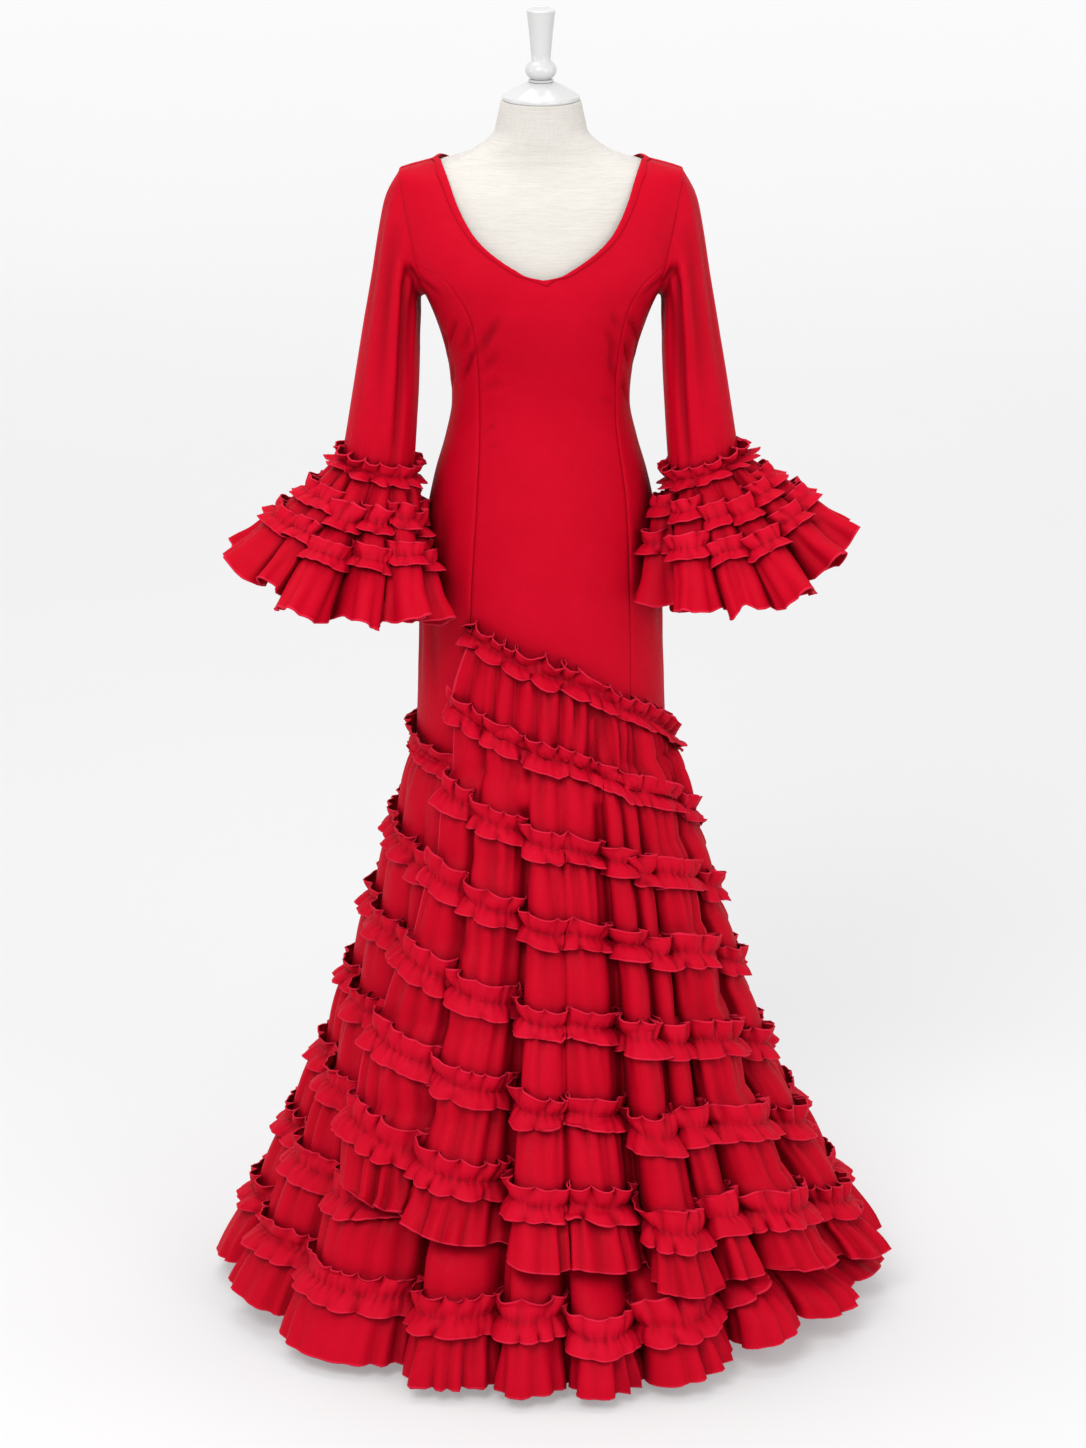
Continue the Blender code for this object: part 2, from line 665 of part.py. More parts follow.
def under_point(place, z):
    """The underskirt's cloth; place runs 0 to len(UNDER_FOLDS) round it."""
    share = (SHEATH_BOTTOM - z) / (SHEATH_BOTTOM - HEM_Z)
    angle, height = folds(place % len(UNDER_FOLDS), share, under_starts, UNDER_DEEP)
    return plan_point(angle, under_radius(angle, height, z), z)


def flap_point(place, share):
    """The flap's cloth: over the sheath first, then over the tiers; share runs seam to hem."""
    angle, height = folds(place, share, flap_starts, FLAP_DEEP)
    below = share * FLAP_LENGTH
    z = ROW_Z[0] + flap_rise(angle) - below - tube_drop(place, share)
    loose = 1 - ease(angle, 76, FLAP_END)
    depth = fold_depth(SHEATH_BOTTOM - below) * ease(below, -0.03, 0.08) * (0.3 + 0.7 * loose)
    off = FLAP_ON_SHEATH + (flap_stand_off(below) - FLAP_ON_SHEATH) * (0.35 + 0.65 * loose) + depth * height
    near_row = np.max(1 - ease(np.abs(z[..., None] - ROW_Z[:ROWS]), 0.030, 0.045), axis=-1)
    on_sheath = z > SHEATH_BOTTOM
    clear = FLAP_CLEAR + STRIP_ROOM * near_row - UNDER_INSET * covered(angle, z)
    off = np.maximum(off, np.where(on_sheath, FLAP_ON_SHEATH, np.maximum(clear, FLAP_DEEPEST)))
    radial = unit(plan_point(angle, 1.0, z) - plan_point(angle, 0.0, z))
    over_sheath = sheath_point(angle, z) + sheath_normal(angle, z) * off[..., None]
    over_tiers = plan_point(angle, skirt_radius(z), z) + radial * off[..., None]
    return np.where(on_sheath[..., None], over_sheath, over_tiers)


def along_rows(points, closed):
    """Unit directions from each point to the next and from the one before, along a row."""
    ahead = unit(np.roll(points, -1, axis=-2) - points)
    behind = np.roll(ahead, 1, axis=-2)
    if not closed:
        ahead[..., -1, :] = behind[..., -1, :]
        behind[..., 0, :] = ahead[..., 0, :]
    return ahead, behind


def level_out(points, closed):
    """Outward directions that keep every row's rim level."""
    ahead, behind = along_rows(points, closed)
    along = ahead + behind
    return unit(np.stack([along[..., 1], -along[..., 0], 0 * along[..., 2]], axis=-1))


def tier(name, points, closed, surface):
    rows, columns = points.shape[:2]
    faces = [f[::-1] for f in grid_faces(rows, columns, closed)]
    return cloth(name, points, faces, surface, level_out(points, closed))


def tier_levels(row, top, bottom):
    return (top, bottom) if row < PLAIN_TIERS else (top, top + PUFF_AT * (bottom - top), bottom)


def reach(near, far, distance):
    """Points a distance from the near row, on the straight lines to the far one."""
    span = np.linalg.norm(far - near, axis=-1)
    return near + (far - near) * np.minimum(distance / span, 0.95)[:, None]


def strip_lines(above, below, half, wave, flare, press, closed, facing=1):
    """The three lines of a double-edged ruffle laid over the seam of two tiers.

    above holds the upper tier's last two rows and below the lower tier's first two.  The middle
    line is gathered on to the seam, and the free edges wave off the cloth.  facing is -1 where
    the columns run the other way round.
    """
    lines = []
    for edge, shift in ((-1, 0.0), (0, 0.0), (1, 1.9)):
        near, far = (above[1], above[0]) if edge < 0 else (below[0], below[1])
        line = (above[1] + below[0]) / 2
        if edge:
            line = reach(near, far, half * (1 + 0.06 * np.sin(wave + shift)))
        down = {-1: above[1] - above[0], 0: unit(above[1] - above[0]) + unit(below[1] - below[0]),
                1: below[1] - below[0]}[edge]
        ahead, behind = along_rows(line, closed)
        normal = unit(np.cross(down, ahead + behind)) * facing
        mitre = np.sqrt(np.clip((1 + np.sum(ahead * behind, axis=-1)) / 2, 0.25, 1.0))
        off = STRIP_OFF / mitre + abs(edge) * (flare + STRIP_WAVE * np.cos(wave + shift)) * press
        lines.append(line + normal * off[:, None])
    return np.array(lines)


def on_chords(row, columns):
    """Points of a row of points at whole or part columns, a closed row being wound on."""
    low = np.floor(columns).astype(int)
    share = (columns - low)[:, None]
    return row[low % len(row)] * (1 - share) + row[(low + 1) % len(row)] * share


def cut_to(angles, start, end):
    """Whole columns between two angles, with part columns exactly at the two."""
    columns = np.arange(len(angles))
    first, last = np.interp([start, end], angles, columns)
    return np.concatenate([[first], columns[(columns > first + 0.3) & (columns < last - 0.3)], [last]])


def underskirt_rows(row):
    place = np.arange(len(UNDER_FOLDS) * SAMPLES_PER_FOLD) / SAMPLES_PER_FOLD
    angle = wound(folds(place, 1.0, under_starts, UNDER_DEEP)[0])
    ends = []
    for number, gap in ((row, -SEAM_GAP / 2), (row + 1, SEAM_GAP / 2)):
        level = ROW_Z[number] + gap - row_drop(number, angle) if number < ROWS else HEM_Z + hem_lift(angle)
        ends.append(level)
    return np.array([under_point(place, z) for z in tier_levels(row, *ends)])


def underskirt(surface):
    rows = [underskirt_rows(row) for row in range(ROWS)]
    for row in range(ROWS):
        tier(f"underskirt_tier_{row + 1}", rows[row], True, surface)
        under_strip(row, rows[row - 1][-2:] if row else None, rows[row][:2], surface)


def under_strip(row, above, below, surface):
    """From the +X side seam round the back to where the flap covers it."""
    z = ROW_Z[row]
    count = len(UNDER_FOLDS) * SAMPLES_PER_FOLD
    samples = np.arange(-count, count)
    share = (SHEATH_BOTTOM - z) / (SHEATH_BOTTOM - HEM_Z)
    angles = (folds(samples / SAMPLES_PER_FOLD % len(UNDER_FOLDS), share, under_starts, UNDER_DEEP)[0]
              + 360.0 * np.floor(samples / count))
    flap_share = (ROW_Z[0] - z + FLAP_RISE) / FLAP_LENGTH
    end = STRIP_LAST_ENDS.get(row, float(flap_start(min(flap_share, 1.0))) + STRIP_PAST_FLAP)
    columns = cut_to(angles, FLAP_END - 360.0 + STRIP_SEAM_GAP, end)
    angle = np.interp(columns, np.arange(len(angles)), angles)
    below = [on_chords(line, columns) for line in below]
    if above is None:
        sheath = [sheath_point(angle, np.full(len(angle), z + up)) for up in (0.04, 0.0)]
        above = [line + 2 * LIE_ON * sheath_normal(angle, line[:, 2]) for line in sheath]
        above[1] = below[0]
    else:
        above = [on_chords(line, columns) for line in above]
    hidden = wound(angle)
    under = np.clip((ROW_Z[0] + flap_rise(hidden) - z) / FLAP_LENGTH, 0.0, 1.0)
    hem = ROW_Z[0] - FLAP_LENGTH + flap_rise(hidden)
    start = flap_start(under)
    covers = (ease(hidden, start - 8, start - 1) * (1 - ease(hidden, 88, 92))
              * ease(z - row_drop(row, hidden) - hem, -0.035, -0.020))
    wave = 2 * math.pi * columns / SAMPLES_PER_WAVE + 0.8 * row
    lines = strip_lines(above, below, float(strip_half(z)), wave, STRIP_FLARE,
                        1 - (1 - STRIP_PRESSED) * covers, False)
    strip(f"underskirt_ruffle_{row + 1}", lines, False, surface)


def strip(name, lines, closed, surface):
    faces = [f[::-1] for f in grid_faces(3, lines.shape[1], closed)]
    return cloth(name, lines, faces, surface)


def flap_rows(row):
    place = np.arange((len(FLAP_DEEP) - 1) * SAMPLES_PER_FOLD + 1) / SAMPLES_PER_FOLD
    ends = []
    for number, gap in ((row, SEAM_GAP / 2), (row + 1, -SEAM_GAP / 2)):
        drop = ROW_Z[0] - ROW_Z[number] + gap if number < ROWS else FLAP_LENGTH
        ends.append(drop / FLAP_LENGTH)
    return np.array([flap_point(place, np.full(len(place), share)) for share in tier_levels(row, *ends)])


def flap(surface):
    rows = [flap_rows(row) for row in range(ROWS)]
    count = rows[0].shape[1]
    place = np.arange(count) / SAMPLES_PER_FOLD
    over = [flap_point(place, np.full(count, -up / FLAP_LENGTH)) for up in (0.04, 0.0)]
    for row in range(ROWS):
        tier(f"flap_tier_{row + 1}", rows[row], False, surface)
        above = rows[row - 1][-2:] if row else over
        columns = np.append(np.arange(count - 1.0), count - 1.0 - FLAP_STRIP_SHORT)
        above, below = ([on_chords(line, columns) for line in pair] for pair in (above, rows[row][:2]))
        wave = 2 * math.pi * columns / SAMPLES_PER_WAVE + 0.9 * row + 0.4
        lines = strip_lines(above, below, float(strip_half(ROW_Z[row])), wave, STRIP_FLARE, 1.0, False)
        strip(f"flap_ruffle_{row + 1}", lines, False, surface)


# ---------------------------------------------------------------- sleeves and cuffs
cuff_radius = smooth_curve(CUFF_ROWS)
cuff_fold_depth = smooth_curve(CUFF_FOLD_DEPTH)
CUFF_END = CUFF_ROWS[-1][0]
CUFF_FRONT = np.array([0.0, -1.0, 0.0])
CUFF_STARTS = np.array(CUFF_FOLDS + (CUFF_FOLDS[0] + 360,), float)
CUFF_DEEP = np.array([1.0, 0.8, 1.0, 0.9, 0.7, 0.8, 0.9, 1.0])
CUFF_PLACES = np.arange(len(CUFF_FOLDS) * SAMPLES_PER_FOLD) / SAMPLES_PER_FOLD


def cuff_axes(side):
    """Directions down a cuff's middle and outwards across its rings, and its width."""
    lean, tilt, width = CUFFS[side]
    down = unit(np.array([math.tan(math.radians(lean)), -math.tan(math.radians(CUFF_LEAN_FORWARD)), -1.0]))
    return down, np.array([math.cos(math.radians(tilt)), 0.0, math.sin(math.radians(tilt))]), width


def cuff_starts(i, share):
    return CUFF_STARTS[i] + 0.0 * share


def clear_of_body(points, gap):
    """Points that would enter the fitted dress are moved out to lie this far off it."""
    z = points[..., 2]
    depth = np.where(points[..., 1] < 0, depth_front(z), depth_back(z)) + gap
    inside = np.hypot(points[..., 0] / (half_width(z) + gap), points[..., 1] / depth)
    scale = np.where(inside < 1.0, 1.0 / inside, 1.0)
    return points * np.stack([scale, scale, 1.0 + 0.0 * scale], axis=-1)


def cuff_point(place, along, side):
    """A cuff's cloth, as on the +X side; place counts folds from the outer side to the front."""
    down, out, width = cuff_axes(side)
    angle, height = folds(place % len(CUFF_FOLDS), along, cuff_starts, CUFF_DEEP)
    turn = np.radians(angle)
    behind = ease(np.cos(turn - math.radians(CUFF_BACK_AT)), -0.2, 1.0)
    radius = cuff_radius(along) * (1 + (width - 1) * along / CUFF_END) + cuff_fold_depth(along) * height
    drop = along + CUFF_BACK_DROP * behind * ease(along, 0.03, CUFF_END)
    points = (np.array(CUFF_TOP) + drop[..., None] * down + (radius * np.cos(turn))[..., None] * out
              + (radius * (1 + (CUFF_DEPTH - 1) * along / CUFF_END) * np.sin(turn))[..., None] * CUFF_FRONT)
    return clear_of_body(points, CUFF_FROM_BODY)


def mirrored(points, faces, side):
    if side > 0:
        return points, faces
    return points * np.array([-1.0, 1.0, 1.0]), [f[::-1] for f in faces]


def in_plane(points, across):
    """Outward directions, for closed rows of points, that stay in planes square to across."""
    along = np.roll(points, -1, axis=-2) - np.roll(points, 1, axis=-2)
    return unit(np.cross(along, across))


def cuff_rows(row, side):
    top = CUFF_ROWS[row][0] + SEAM_GAP / 2
    bottom = CUFF_ROWS[row + 1][0] - SEAM_GAP / 2
    return np.array([cuff_point(CUFF_PLACES, np.full(len(CUFF_PLACES), a), side) for a in (top, bottom)])


def cuff(side, surface):
    hand = side_name(side)
    down = cuff_axes(side)[0]
    rows = [cuff_rows(row, side) for row in range(len(CUFF_ROWS) - 1)]
    over = sleeve_rings(side, np.radians(folds(CUFF_PLACES, 0.0, cuff_starts, CUFF_DEEP)[0]))[-2:]
    for row, points in enumerate(rows):
        out = in_plane(points, down) * np.array([side, 1.0, 1.0])
        shell, faces = mirrored(points, grid_faces(2, len(CUFF_PLACES), True), side)
        cloth(f"cuff_tier_{hand}_{row + 1}", shell, faces, surface, out)
        wave = 2 * math.pi * np.arange(len(CUFF_PLACES)) * CUFF_WAVES / len(CUFF_PLACES) + row
        lines = strip_lines(rows[row - 1] if row else over, points, CUFF_STRIP_HALF, wave,
                            CUFF_STRIP_FLARE, 1.0, True, -1)
        lines = clear_of_body(lines, CUFF_STRIP_FROM_BODY)
        lines, faces = mirrored(lines, grid_faces(3, len(CUFF_PLACES), True), side)
        cloth(f"cuff_ruffle_{hand}_{row + 1}", lines, faces, surface)


def sleeve_rings(side, turn):
    """Rings below the armhole, down to the cuff, at angles round from the outer side to the front."""
    rings = []
    for outer_x, outer_z, inner_x, inner_z, half_depth, y in SLEEVE_RINGS:
        outer, inner = np.array([outer_x, y, outer_z]), np.array([inner_x, y, inner_z])
        rings.append((outer + inner) / 2 + np.cos(turn)[:, None] * (outer - inner) / 2
                     + np.sin(turn)[:, None] * half_depth * CUFF_FRONT)
    down, across = cuff_axes(side)[:2]
    end = np.array(CUFF_TOP) - down * SEAM_GAP / 2
    radius = cuff_radius(0.0)
    rings.append(end + radius * (np.cos(turn)[:, None] * across + np.sin(turn)[:, None] * CUFF_FRONT))
    return rings


def armhole_ring(turn):
    middle_z = (SHOULDER[1] + UNDERARM[1]) / 2
    ring = []
    for z, ahead in zip(middle_z + np.cos(turn) * (SHOULDER[1] - UNDERARM[1]) / 2, np.sin(turn)):
        y = sheath_point(armhole_angle(z, ahead < 0), z)[1] if abs(ahead) > 1e-6 else 0.0
        ring.append((armhole_x(z) + ARMHOLE_GAP, y, z))
    return np.array(ring)


def sleeve(side, surface):
    turn = np.radians(np.arange(SLEEVE_SEGMENTS) * 360.0 / SLEEVE_SEGMENTS)
    points = np.array([armhole_ring(turn)] + sleeve_rings(side, turn))
    faces = grid_faces(len(points), len(turn), True)
    out = vertex_normals(points.reshape(-1, 3), faces).reshape(points.shape)
    armhole_plane = np.array([SHOULDER[1] - UNDERARM[1], 0.0, UNDERARM[0] - SHOULDER[0]])
    out[0] = in_plane(points[0], unit(armhole_plane))
    out[-1] = in_plane(points[-1], cuff_axes(side)[0])
    points, faces = mirrored(points, faces, side)
    return cloth(f"sleeve_{side_name(side)}", points, faces, surface, out * np.array([side, 1.0, 1.0]))


# ---------------------------------------------------------------- the dress form
form_clearance = smooth_curve(FORM_CLEARANCE)


def form_torso(surface):
    angles = np.arange(FORM_SEGMENTS) * 360.0 / FORM_SEGMENTS
    rings = []
    for z in FORM_HEIGHTS:
        level = np.full(FORM_SEGMENTS, z)
        rings.append(sheath_point(angles, level) - sheath_normal(angles, level) * form_clearance(z))
    low = rings[0].copy()
    low[:, 2] = FORM_BOTTOM
    top = sheath_point(angles, np.full(FORM_SEGMENTS, NECK_TOP))
    top[:, :2] *= NECK_RADIUS / SHEATH_SECTIONS[-1][1]
    rings = [low] + rings + [top]
    points = np.array(rings).reshape(-1, 3)
    faces = grid_faces(len(rings), FORM_SEGMENTS, True)
    last = (len(rings) - 1) * FORM_SEGMENTS
    faces += [tuple(reversed(range(FORM_SEGMENTS))), tuple(last + i for i in range(FORM_SEGMENTS))]
    return add_object("form_torso", points, faces, surface)


def form(linen, gloss, metal):
    form_torso(linen)
    cap = NECK_TOP + SEAM_GAP
    turned("form_cap", ((CAP_RADIUS - 0.0015, cap), (CAP_RADIUS, cap + 0.0015), (CAP_RADIUS, cap + 0.0040),
                        (CAP_RADIUS - 0.0022, cap + 0.0062), (COLLAR_RADIUS + 0.0135, cap + 0.0170),
                        (COLLAR_RADIUS + 0.0005, cap + CAP_HEIGHT)), gloss, 24)
    knob = cap + CAP_HEIGHT + SEAM_GAP
    profile = [(COLLAR_RADIUS, knob), (COLLAR_RADIUS, knob + 0.003)]
    middle = knob + 0.003 + KNOB_HEIGHT / 2
    for share in (-0.75, -0.4, 0.0, 0.4, 0.75):
        profile.append((KNOB_RADIUS * math.sqrt(1 - (share * 0.95) ** 2), middle + share * KNOB_HEIGHT / 2))
    profile += [(0.0125, middle + KNOB_HEIGHT / 2), (0.0188, FINIAL_TOP - 0.002), (0.0178, FINIAL_TOP)]
    turned("form_finial", profile, gloss, 16)
    turned("form_pole", ((POLE_RADIUS, BASE_HEIGHT + SEAM_GAP), (POLE_RADIUS, FORM_BOTTOM - SEAM_GAP)),
           metal, 16)
    turned("form_base", ((BASE_RADIUS, 0.0), (BASE_RADIUS, BASE_HEIGHT - 0.004),
                         (BASE_RADIUS - 0.005, BASE_HEIGHT - 0.001), (0.030, BASE_HEIGHT)), metal, 40)


def build():
    for old in list(bpy.data.objects):
        bpy.data.objects.remove(old)
    red = material("red_crepe", RED, 0.55)
    linen = material("cream_linen", LINEN, 0.85)
    gloss = material("gloss_white", GLOSS_WHITE, 0.2)
    metal = material("pale_metal", PALE_METAL, 0.4)
    form(linen, gloss, metal)
    bodice(red)
    neck_binding(red)
    for side in (-1, 1):
        sleeve(side, red)
        cuff(side, red)
    underskirt(red)
    flap(red)


build()
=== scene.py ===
"""Flamenco dress on its dress form, dressed for the studio.  Blender 4.5, metres, +Z up.

The dress faces -Y; +X is its own left, the right-hand side seen from the front.  Plan angles are
in degrees from the front, positive towards +X.  Every cloth piece is a thin shell on the form of
its solid: the skirt's deep folds, then flutes, gathers and ruffle waves on them.
"""
import math

import bpy
import numpy as np
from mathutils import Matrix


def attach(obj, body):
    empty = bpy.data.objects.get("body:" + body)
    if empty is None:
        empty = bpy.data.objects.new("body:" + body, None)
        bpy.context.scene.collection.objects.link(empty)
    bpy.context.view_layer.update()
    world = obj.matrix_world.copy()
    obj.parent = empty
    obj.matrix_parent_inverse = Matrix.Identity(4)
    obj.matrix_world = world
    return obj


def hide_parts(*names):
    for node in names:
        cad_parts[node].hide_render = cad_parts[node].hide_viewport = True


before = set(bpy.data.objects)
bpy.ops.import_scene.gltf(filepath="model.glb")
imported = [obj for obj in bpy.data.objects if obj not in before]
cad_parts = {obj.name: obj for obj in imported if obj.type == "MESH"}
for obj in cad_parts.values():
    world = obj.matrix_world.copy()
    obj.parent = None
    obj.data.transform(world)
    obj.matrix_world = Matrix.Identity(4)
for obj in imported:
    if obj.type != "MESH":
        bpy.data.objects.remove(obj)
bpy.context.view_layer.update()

FINE = 1.0

# ---------------------------------------------------------------- the part's own sizes (metres)
WALL = 0.002
SEAM_GAP = 0.0003
LIE_ON = WALL + SEAM_GAP
PANEL_GAP = 0.0005
HEM_Z = 0.024
SHEATH_BOTTOM = 0.775
SHEATH_SECTIONS = (
    # z, half width, depth in front, depth behind, squareness
    (0.775, 0.166, 0.142, 0.152, 2.0), (0.860, 0.1635, 0.130, 0.144, 2.0), (0.930, 0.1615, 0.119, 0.136, 2.0),
    (1.000, 0.159, 0.111, 0.127, 2.0), (1.050, 0.156, 0.106, 0.118, 2.0), (1.100, 0.1495, 0.101, 0.107, 2.0),
    (1.150, 0.139, 0.095, 0.095, 2.0), (1.200, 0.1245, 0.090, 0.086, 2.0), (1.250, 0.116, 0.088, 0.083, 2.0),
    (1.300, 0.1205, 0.097, 0.087, 2.0), (1.345, 0.132, 0.113, 0.094, 2.1), (1.392, 0.1508, 0.124, 0.101, 2.2),
    (1.425, 0.170, 0.123, 0.104, 2.4), (1.470, 0.183, 0.111, 0.106, 2.5), (1.510, 0.190, 0.094, 0.102, 2.5),
    (1.535, 0.190, 0.077, 0.092, 2.4), (1.553, 0.184, 0.059, 0.078, 2.3), (1.561, 0.158, 0.052, 0.069, 2.2),
    (1.568, 0.134, 0.049, 0.062, 2.1), (1.576, 0.108, 0.049, 0.058, 2.0), (1.588, 0.084, 0.050, 0.056, 2.0),
    (1.604, 0.065, 0.051, 0.055, 2.0), (1.640, 0.053, 0.051, 0.053, 2.0),
)
FRONT_SEAMS = (
    # z     left    right
    (0.775, 0.094, 0.118), (1.000, 0.092, 0.117), (1.130, 0.084, 0.111), (1.240, 0.080, 0.098),
    (1.330, 0.083, 0.101), (1.376, 0.091, 0.109), (1.406, 0.106, 0.121), (1.432, 0.130, 0.143),
)
FRONT_SEAM_TOP = 1.442
BACK_SEAMS = ((0.775, 0.088, 0.088), (1.000, 0.084, 0.084), (1.240, 0.062, 0.062), (1.380, 0.086, 0.086),
              (1.440, 0.116, 0.116))
BACK_SEAM_TOP = 1.475
NECKLINE_FRONT = (
    # z      half width of the opening
    (1.4335, 0.0000), (1.4370, 0.0190), (1.4455, 0.0365), (1.4570, 0.0555), (1.4700, 0.0730),
    (1.4840, 0.0870), (1.5020, 0.0990), (1.5240, 0.1100), (1.5480, 0.1195), (1.5680, 0.1290),
)
NECKLINE_BACK = (
    (1.510, 0.0000), (1.513, 0.0350), (1.522, 0.0700), (1.540, 0.1000), (1.560, 0.1215), (1.568, 0.1290),
)
NECK_LEAN = 0.004                   # the front neckline's lowest point lies this far towards +X
UNDERARM = (0.1508, 1.392)          # x and z of the armhole's lowest point
SHOULDER = (0.1840, 1.553)          # and of its highest
PANEL_TOP = 1.376                   # the panels' rows are level up to here
RIDGE_GAP = 0.12                    # degrees from the shoulder ridge to the panels' edges
BINDING_WIDTH = 0.007

SKIRT_ROWS = (
    # z      radius
    (0.775, 0.166), (0.668, 0.194), (0.560, 0.224), (0.455, 0.254), (0.342, 0.288), (0.235, 0.337),
    (0.125, 0.391), (HEM_Z, 0.447),
)
ROWS = len(SKIRT_ROWS) - 1
# plan angle, how much higher the underskirt's hem lies there
HEM_LIFT = ((-100, 0.0), (-72, 0.020), (-50, 0.002), (-20, -0.004), (12, -0.006), (28, 0.004), (45, 0.022),
            (62, 0.018), (78, 0.014), (100, 0.0))
LAST_ROW_DROP = (
    # plan angle, how much lower the underskirt's last row hangs there
    (-100, 0.0), (-62, 0.001), (-40, 0.015), (-22, 0.019), (-1, 0.018), (9, 0.035), (21, 0.030), (30, 0.028),
    (37, 0.015), (44, 0.003), (50, 0.0), (100, 0.0),
)
TIER_BULGE = 0.008                  # each tier stands out this much between its seams
SKIRT_PLAN = (
    # z, depth over width in front, the same behind, x of the centre
    (0.775, 0.142 / 0.166, 0.152 / 0.166, 0.0), (0.560, 0.950, 0.970, 0.004), (0.340, 0.975, 1.000, 0.005),
    (0.235, 0.970, 1.000, 0.008), (0.125, 0.950, 0.990, 0.012), (HEM_Z, 0.930, 0.980, 0.0145),
)
UNDER_FOLDS = (
    # top   hem   depth
    (-100, -100, 0.8), (-78, -78, 0.9), (-56, -56, 0.8), (-30, -27, 1.0), (-10, -10, 0.9), (3, 3, 0.8),
    (16, 16, 1.0), (36, 36, 0.9), (52, 52, 0.7), (72, 72, 0.9), (97, 97, 0.8), (123, 123, 1.0),
    (150, 150, 0.8), (178, 178, 1.0), (206, 206, 0.9), (233, 233, 1.0),
)
FLAP_FOLDS = (
    # top   hem   depth
    (-24, -32, 0.6), (-5, -9, 1.0), (8, 3.5, 0.38), (26, 20, 1.0), (33, 35, 0.6), (41, 46, 0.9),
    (68, 70, 0.9),
)
FLAP_TUBES = (
    # how much lower the rows hang on each tube of the flap: at its seam, half way down, at the hem
    (0.000, 0.000, 0.010), (0.000, 0.000, 0.008), (-0.004, 0.002, 0.007), (-0.010, -0.008, -0.002),
    (-0.008, -0.014, 0.012), (-0.003, -0.008, -0.008), (-0.006, -0.019, -0.012), (-0.003, -0.008, -0.002),
)
# z, depth of the folds there
FOLD_DEPTH = ((0.775, 0.0015), (0.56, 0.0175), (0.34, 0.030), (0.125, 0.044), (HEM_Z, 0.048))
CREST_SHARE = 0.22                  # of a fold's depth, how far its crest stands out
FLAP_END = 89.4                     # plan angle of the flap's closed edge, at the side seam
# share down the flap, plan angle of its free edge
FLAP_START = ((0.0, -33.5), (0.17, -41), (0.30, -40.7), (0.45, -41.5), (0.58, -45.5), (0.75, -52),
              (0.90, -52.5), (1.0, -48.5))
FLAP_RISE = 0.195                   # the flap's rows rise this much over the span, in degrees
FLAP_RISE_SPAN = 135.0
FLAP_HEM_DROP = 0.078               # its hem lies this much below the tiers' last seam
FLAP_ON_SHEATH = LIE_ON + 0.0012
# distance down the flap, how far it stands off the skirt there
FLAP_STAND_OFF = ((0.0, FLAP_ON_SHEATH), (0.05, 0.008), (0.20, 0.010), (0.60, 0.014), (0.80, 0.020))
UNDER_INSET = 0.046                 # the underskirt lies this much further in beneath the flap
FLAP_CLEAR = 0.004                  # least room between the two, and more at the underskirt's ruffles
STRIP_ROOM = 0.007
FLAP_DEEPEST = -0.042
STRIP_HALF = ((0.775, 0.025), (0.455, 0.027), (0.125, 0.031))     # z, half width of the ruffles there
STRIP_PRESSED = 0.22                # how much of its shape a ruffle keeps beneath the flap
STRIP_OFF = LIE_ON + 0.0005
STRIP_SEAM_GAP = 0.9                # degrees
STRIP_PAST_FLAP = 7.0               # degrees that the ruffles run on beneath the flap
STRIP_LAST_ENDS = {5: 3.0, 6: 72.0}     # row, plan angle where its ruffle ends instead

SLEEVE_RINGS = (
    # outer x  outer z  inner x  inner z  half depth  y
    (0.1995, 1.5200, 0.1555, 1.3870, 0.061, 0.004), (0.2095, 1.4750, 0.1575, 1.3770, 0.065, 0.002),
    (0.2185, 1.4200, 0.1575, 1.3600, 0.066, -0.002), (0.2300, 1.3550, 0.1580, 1.3300, 0.062, -0.008),
    (0.2435, 1.2750, 0.1600, 1.2600, 0.055, -0.017),
)
ARMHOLE_TUCK = 0.0020               # the sleeve begins beneath the edge of the sheath
CUFF_TOP = (0.2135, -0.030, 1.167)  # middle of the seam between sleeve and cuff
CUFF_LEAN_FORWARD = 10.0            # degrees
CUFFS = {-1: (18.0, 13.0, 1.03), 1: (24.0, 19.0, 0.97)}     # side: lean, tilt (degrees), share of width
CUFF_ROWS = ((0.000, 0.0470), (0.046, 0.0725), (0.087, 0.0990), (0.160, 0.1350))    # distance, radius
CUFF_DEPTH = 1.18                   # depth over width, at the hem
CUFF_FOLDS = (0, 47, 98, 150, 203, 255, 308)
CUFF_FOLD_DEPTH = ((0.0, 0.0), (0.056, 0.006), (0.158, 0.020))      # distance, depth of the folds
CUFF_STRIP_HALF = 0.023
CUFF_BACK_DROP = 0.020              # the hem hangs this much lower at the angle of CUFF_BACK_AT
CUFF_BACK_AT = 245.0
CUFF_FROM_BODY = 0.017              # least distance of the cuff from the body, and of its ruffles
CUFF_STRIP_FROM_BODY = 0.005

NECK_RADIUS = 0.0515
NECK_TOP = 1.644
FORM_BOTTOM = 0.800
CAP_RADIUS = 0.0500
CAP_HEIGHT = 0.023
COLLAR_RADIUS = 0.0165
KNOB_RADIUS = 0.0203
KNOB_HEIGHT = 0.024
KNOB_TURN = 56                      # degrees below its middle at which the knob meets its collar
FINIAL_TOP = 1.760
# z, distance of the form beneath the sheath
FORM_CLEARANCE = ((0.80, 0.0120), (1.15, 0.0115), (1.30, 0.0075), (1.42, 0.0095), (1.50, 0.0085),
                  (1.545, 0.0035), (1.568, 0.0028), (1.58, 0.0040))
POLE_RADIUS = 0.016
BASE_RADIUS = 0.170
BASE_HEIGHT = 0.014

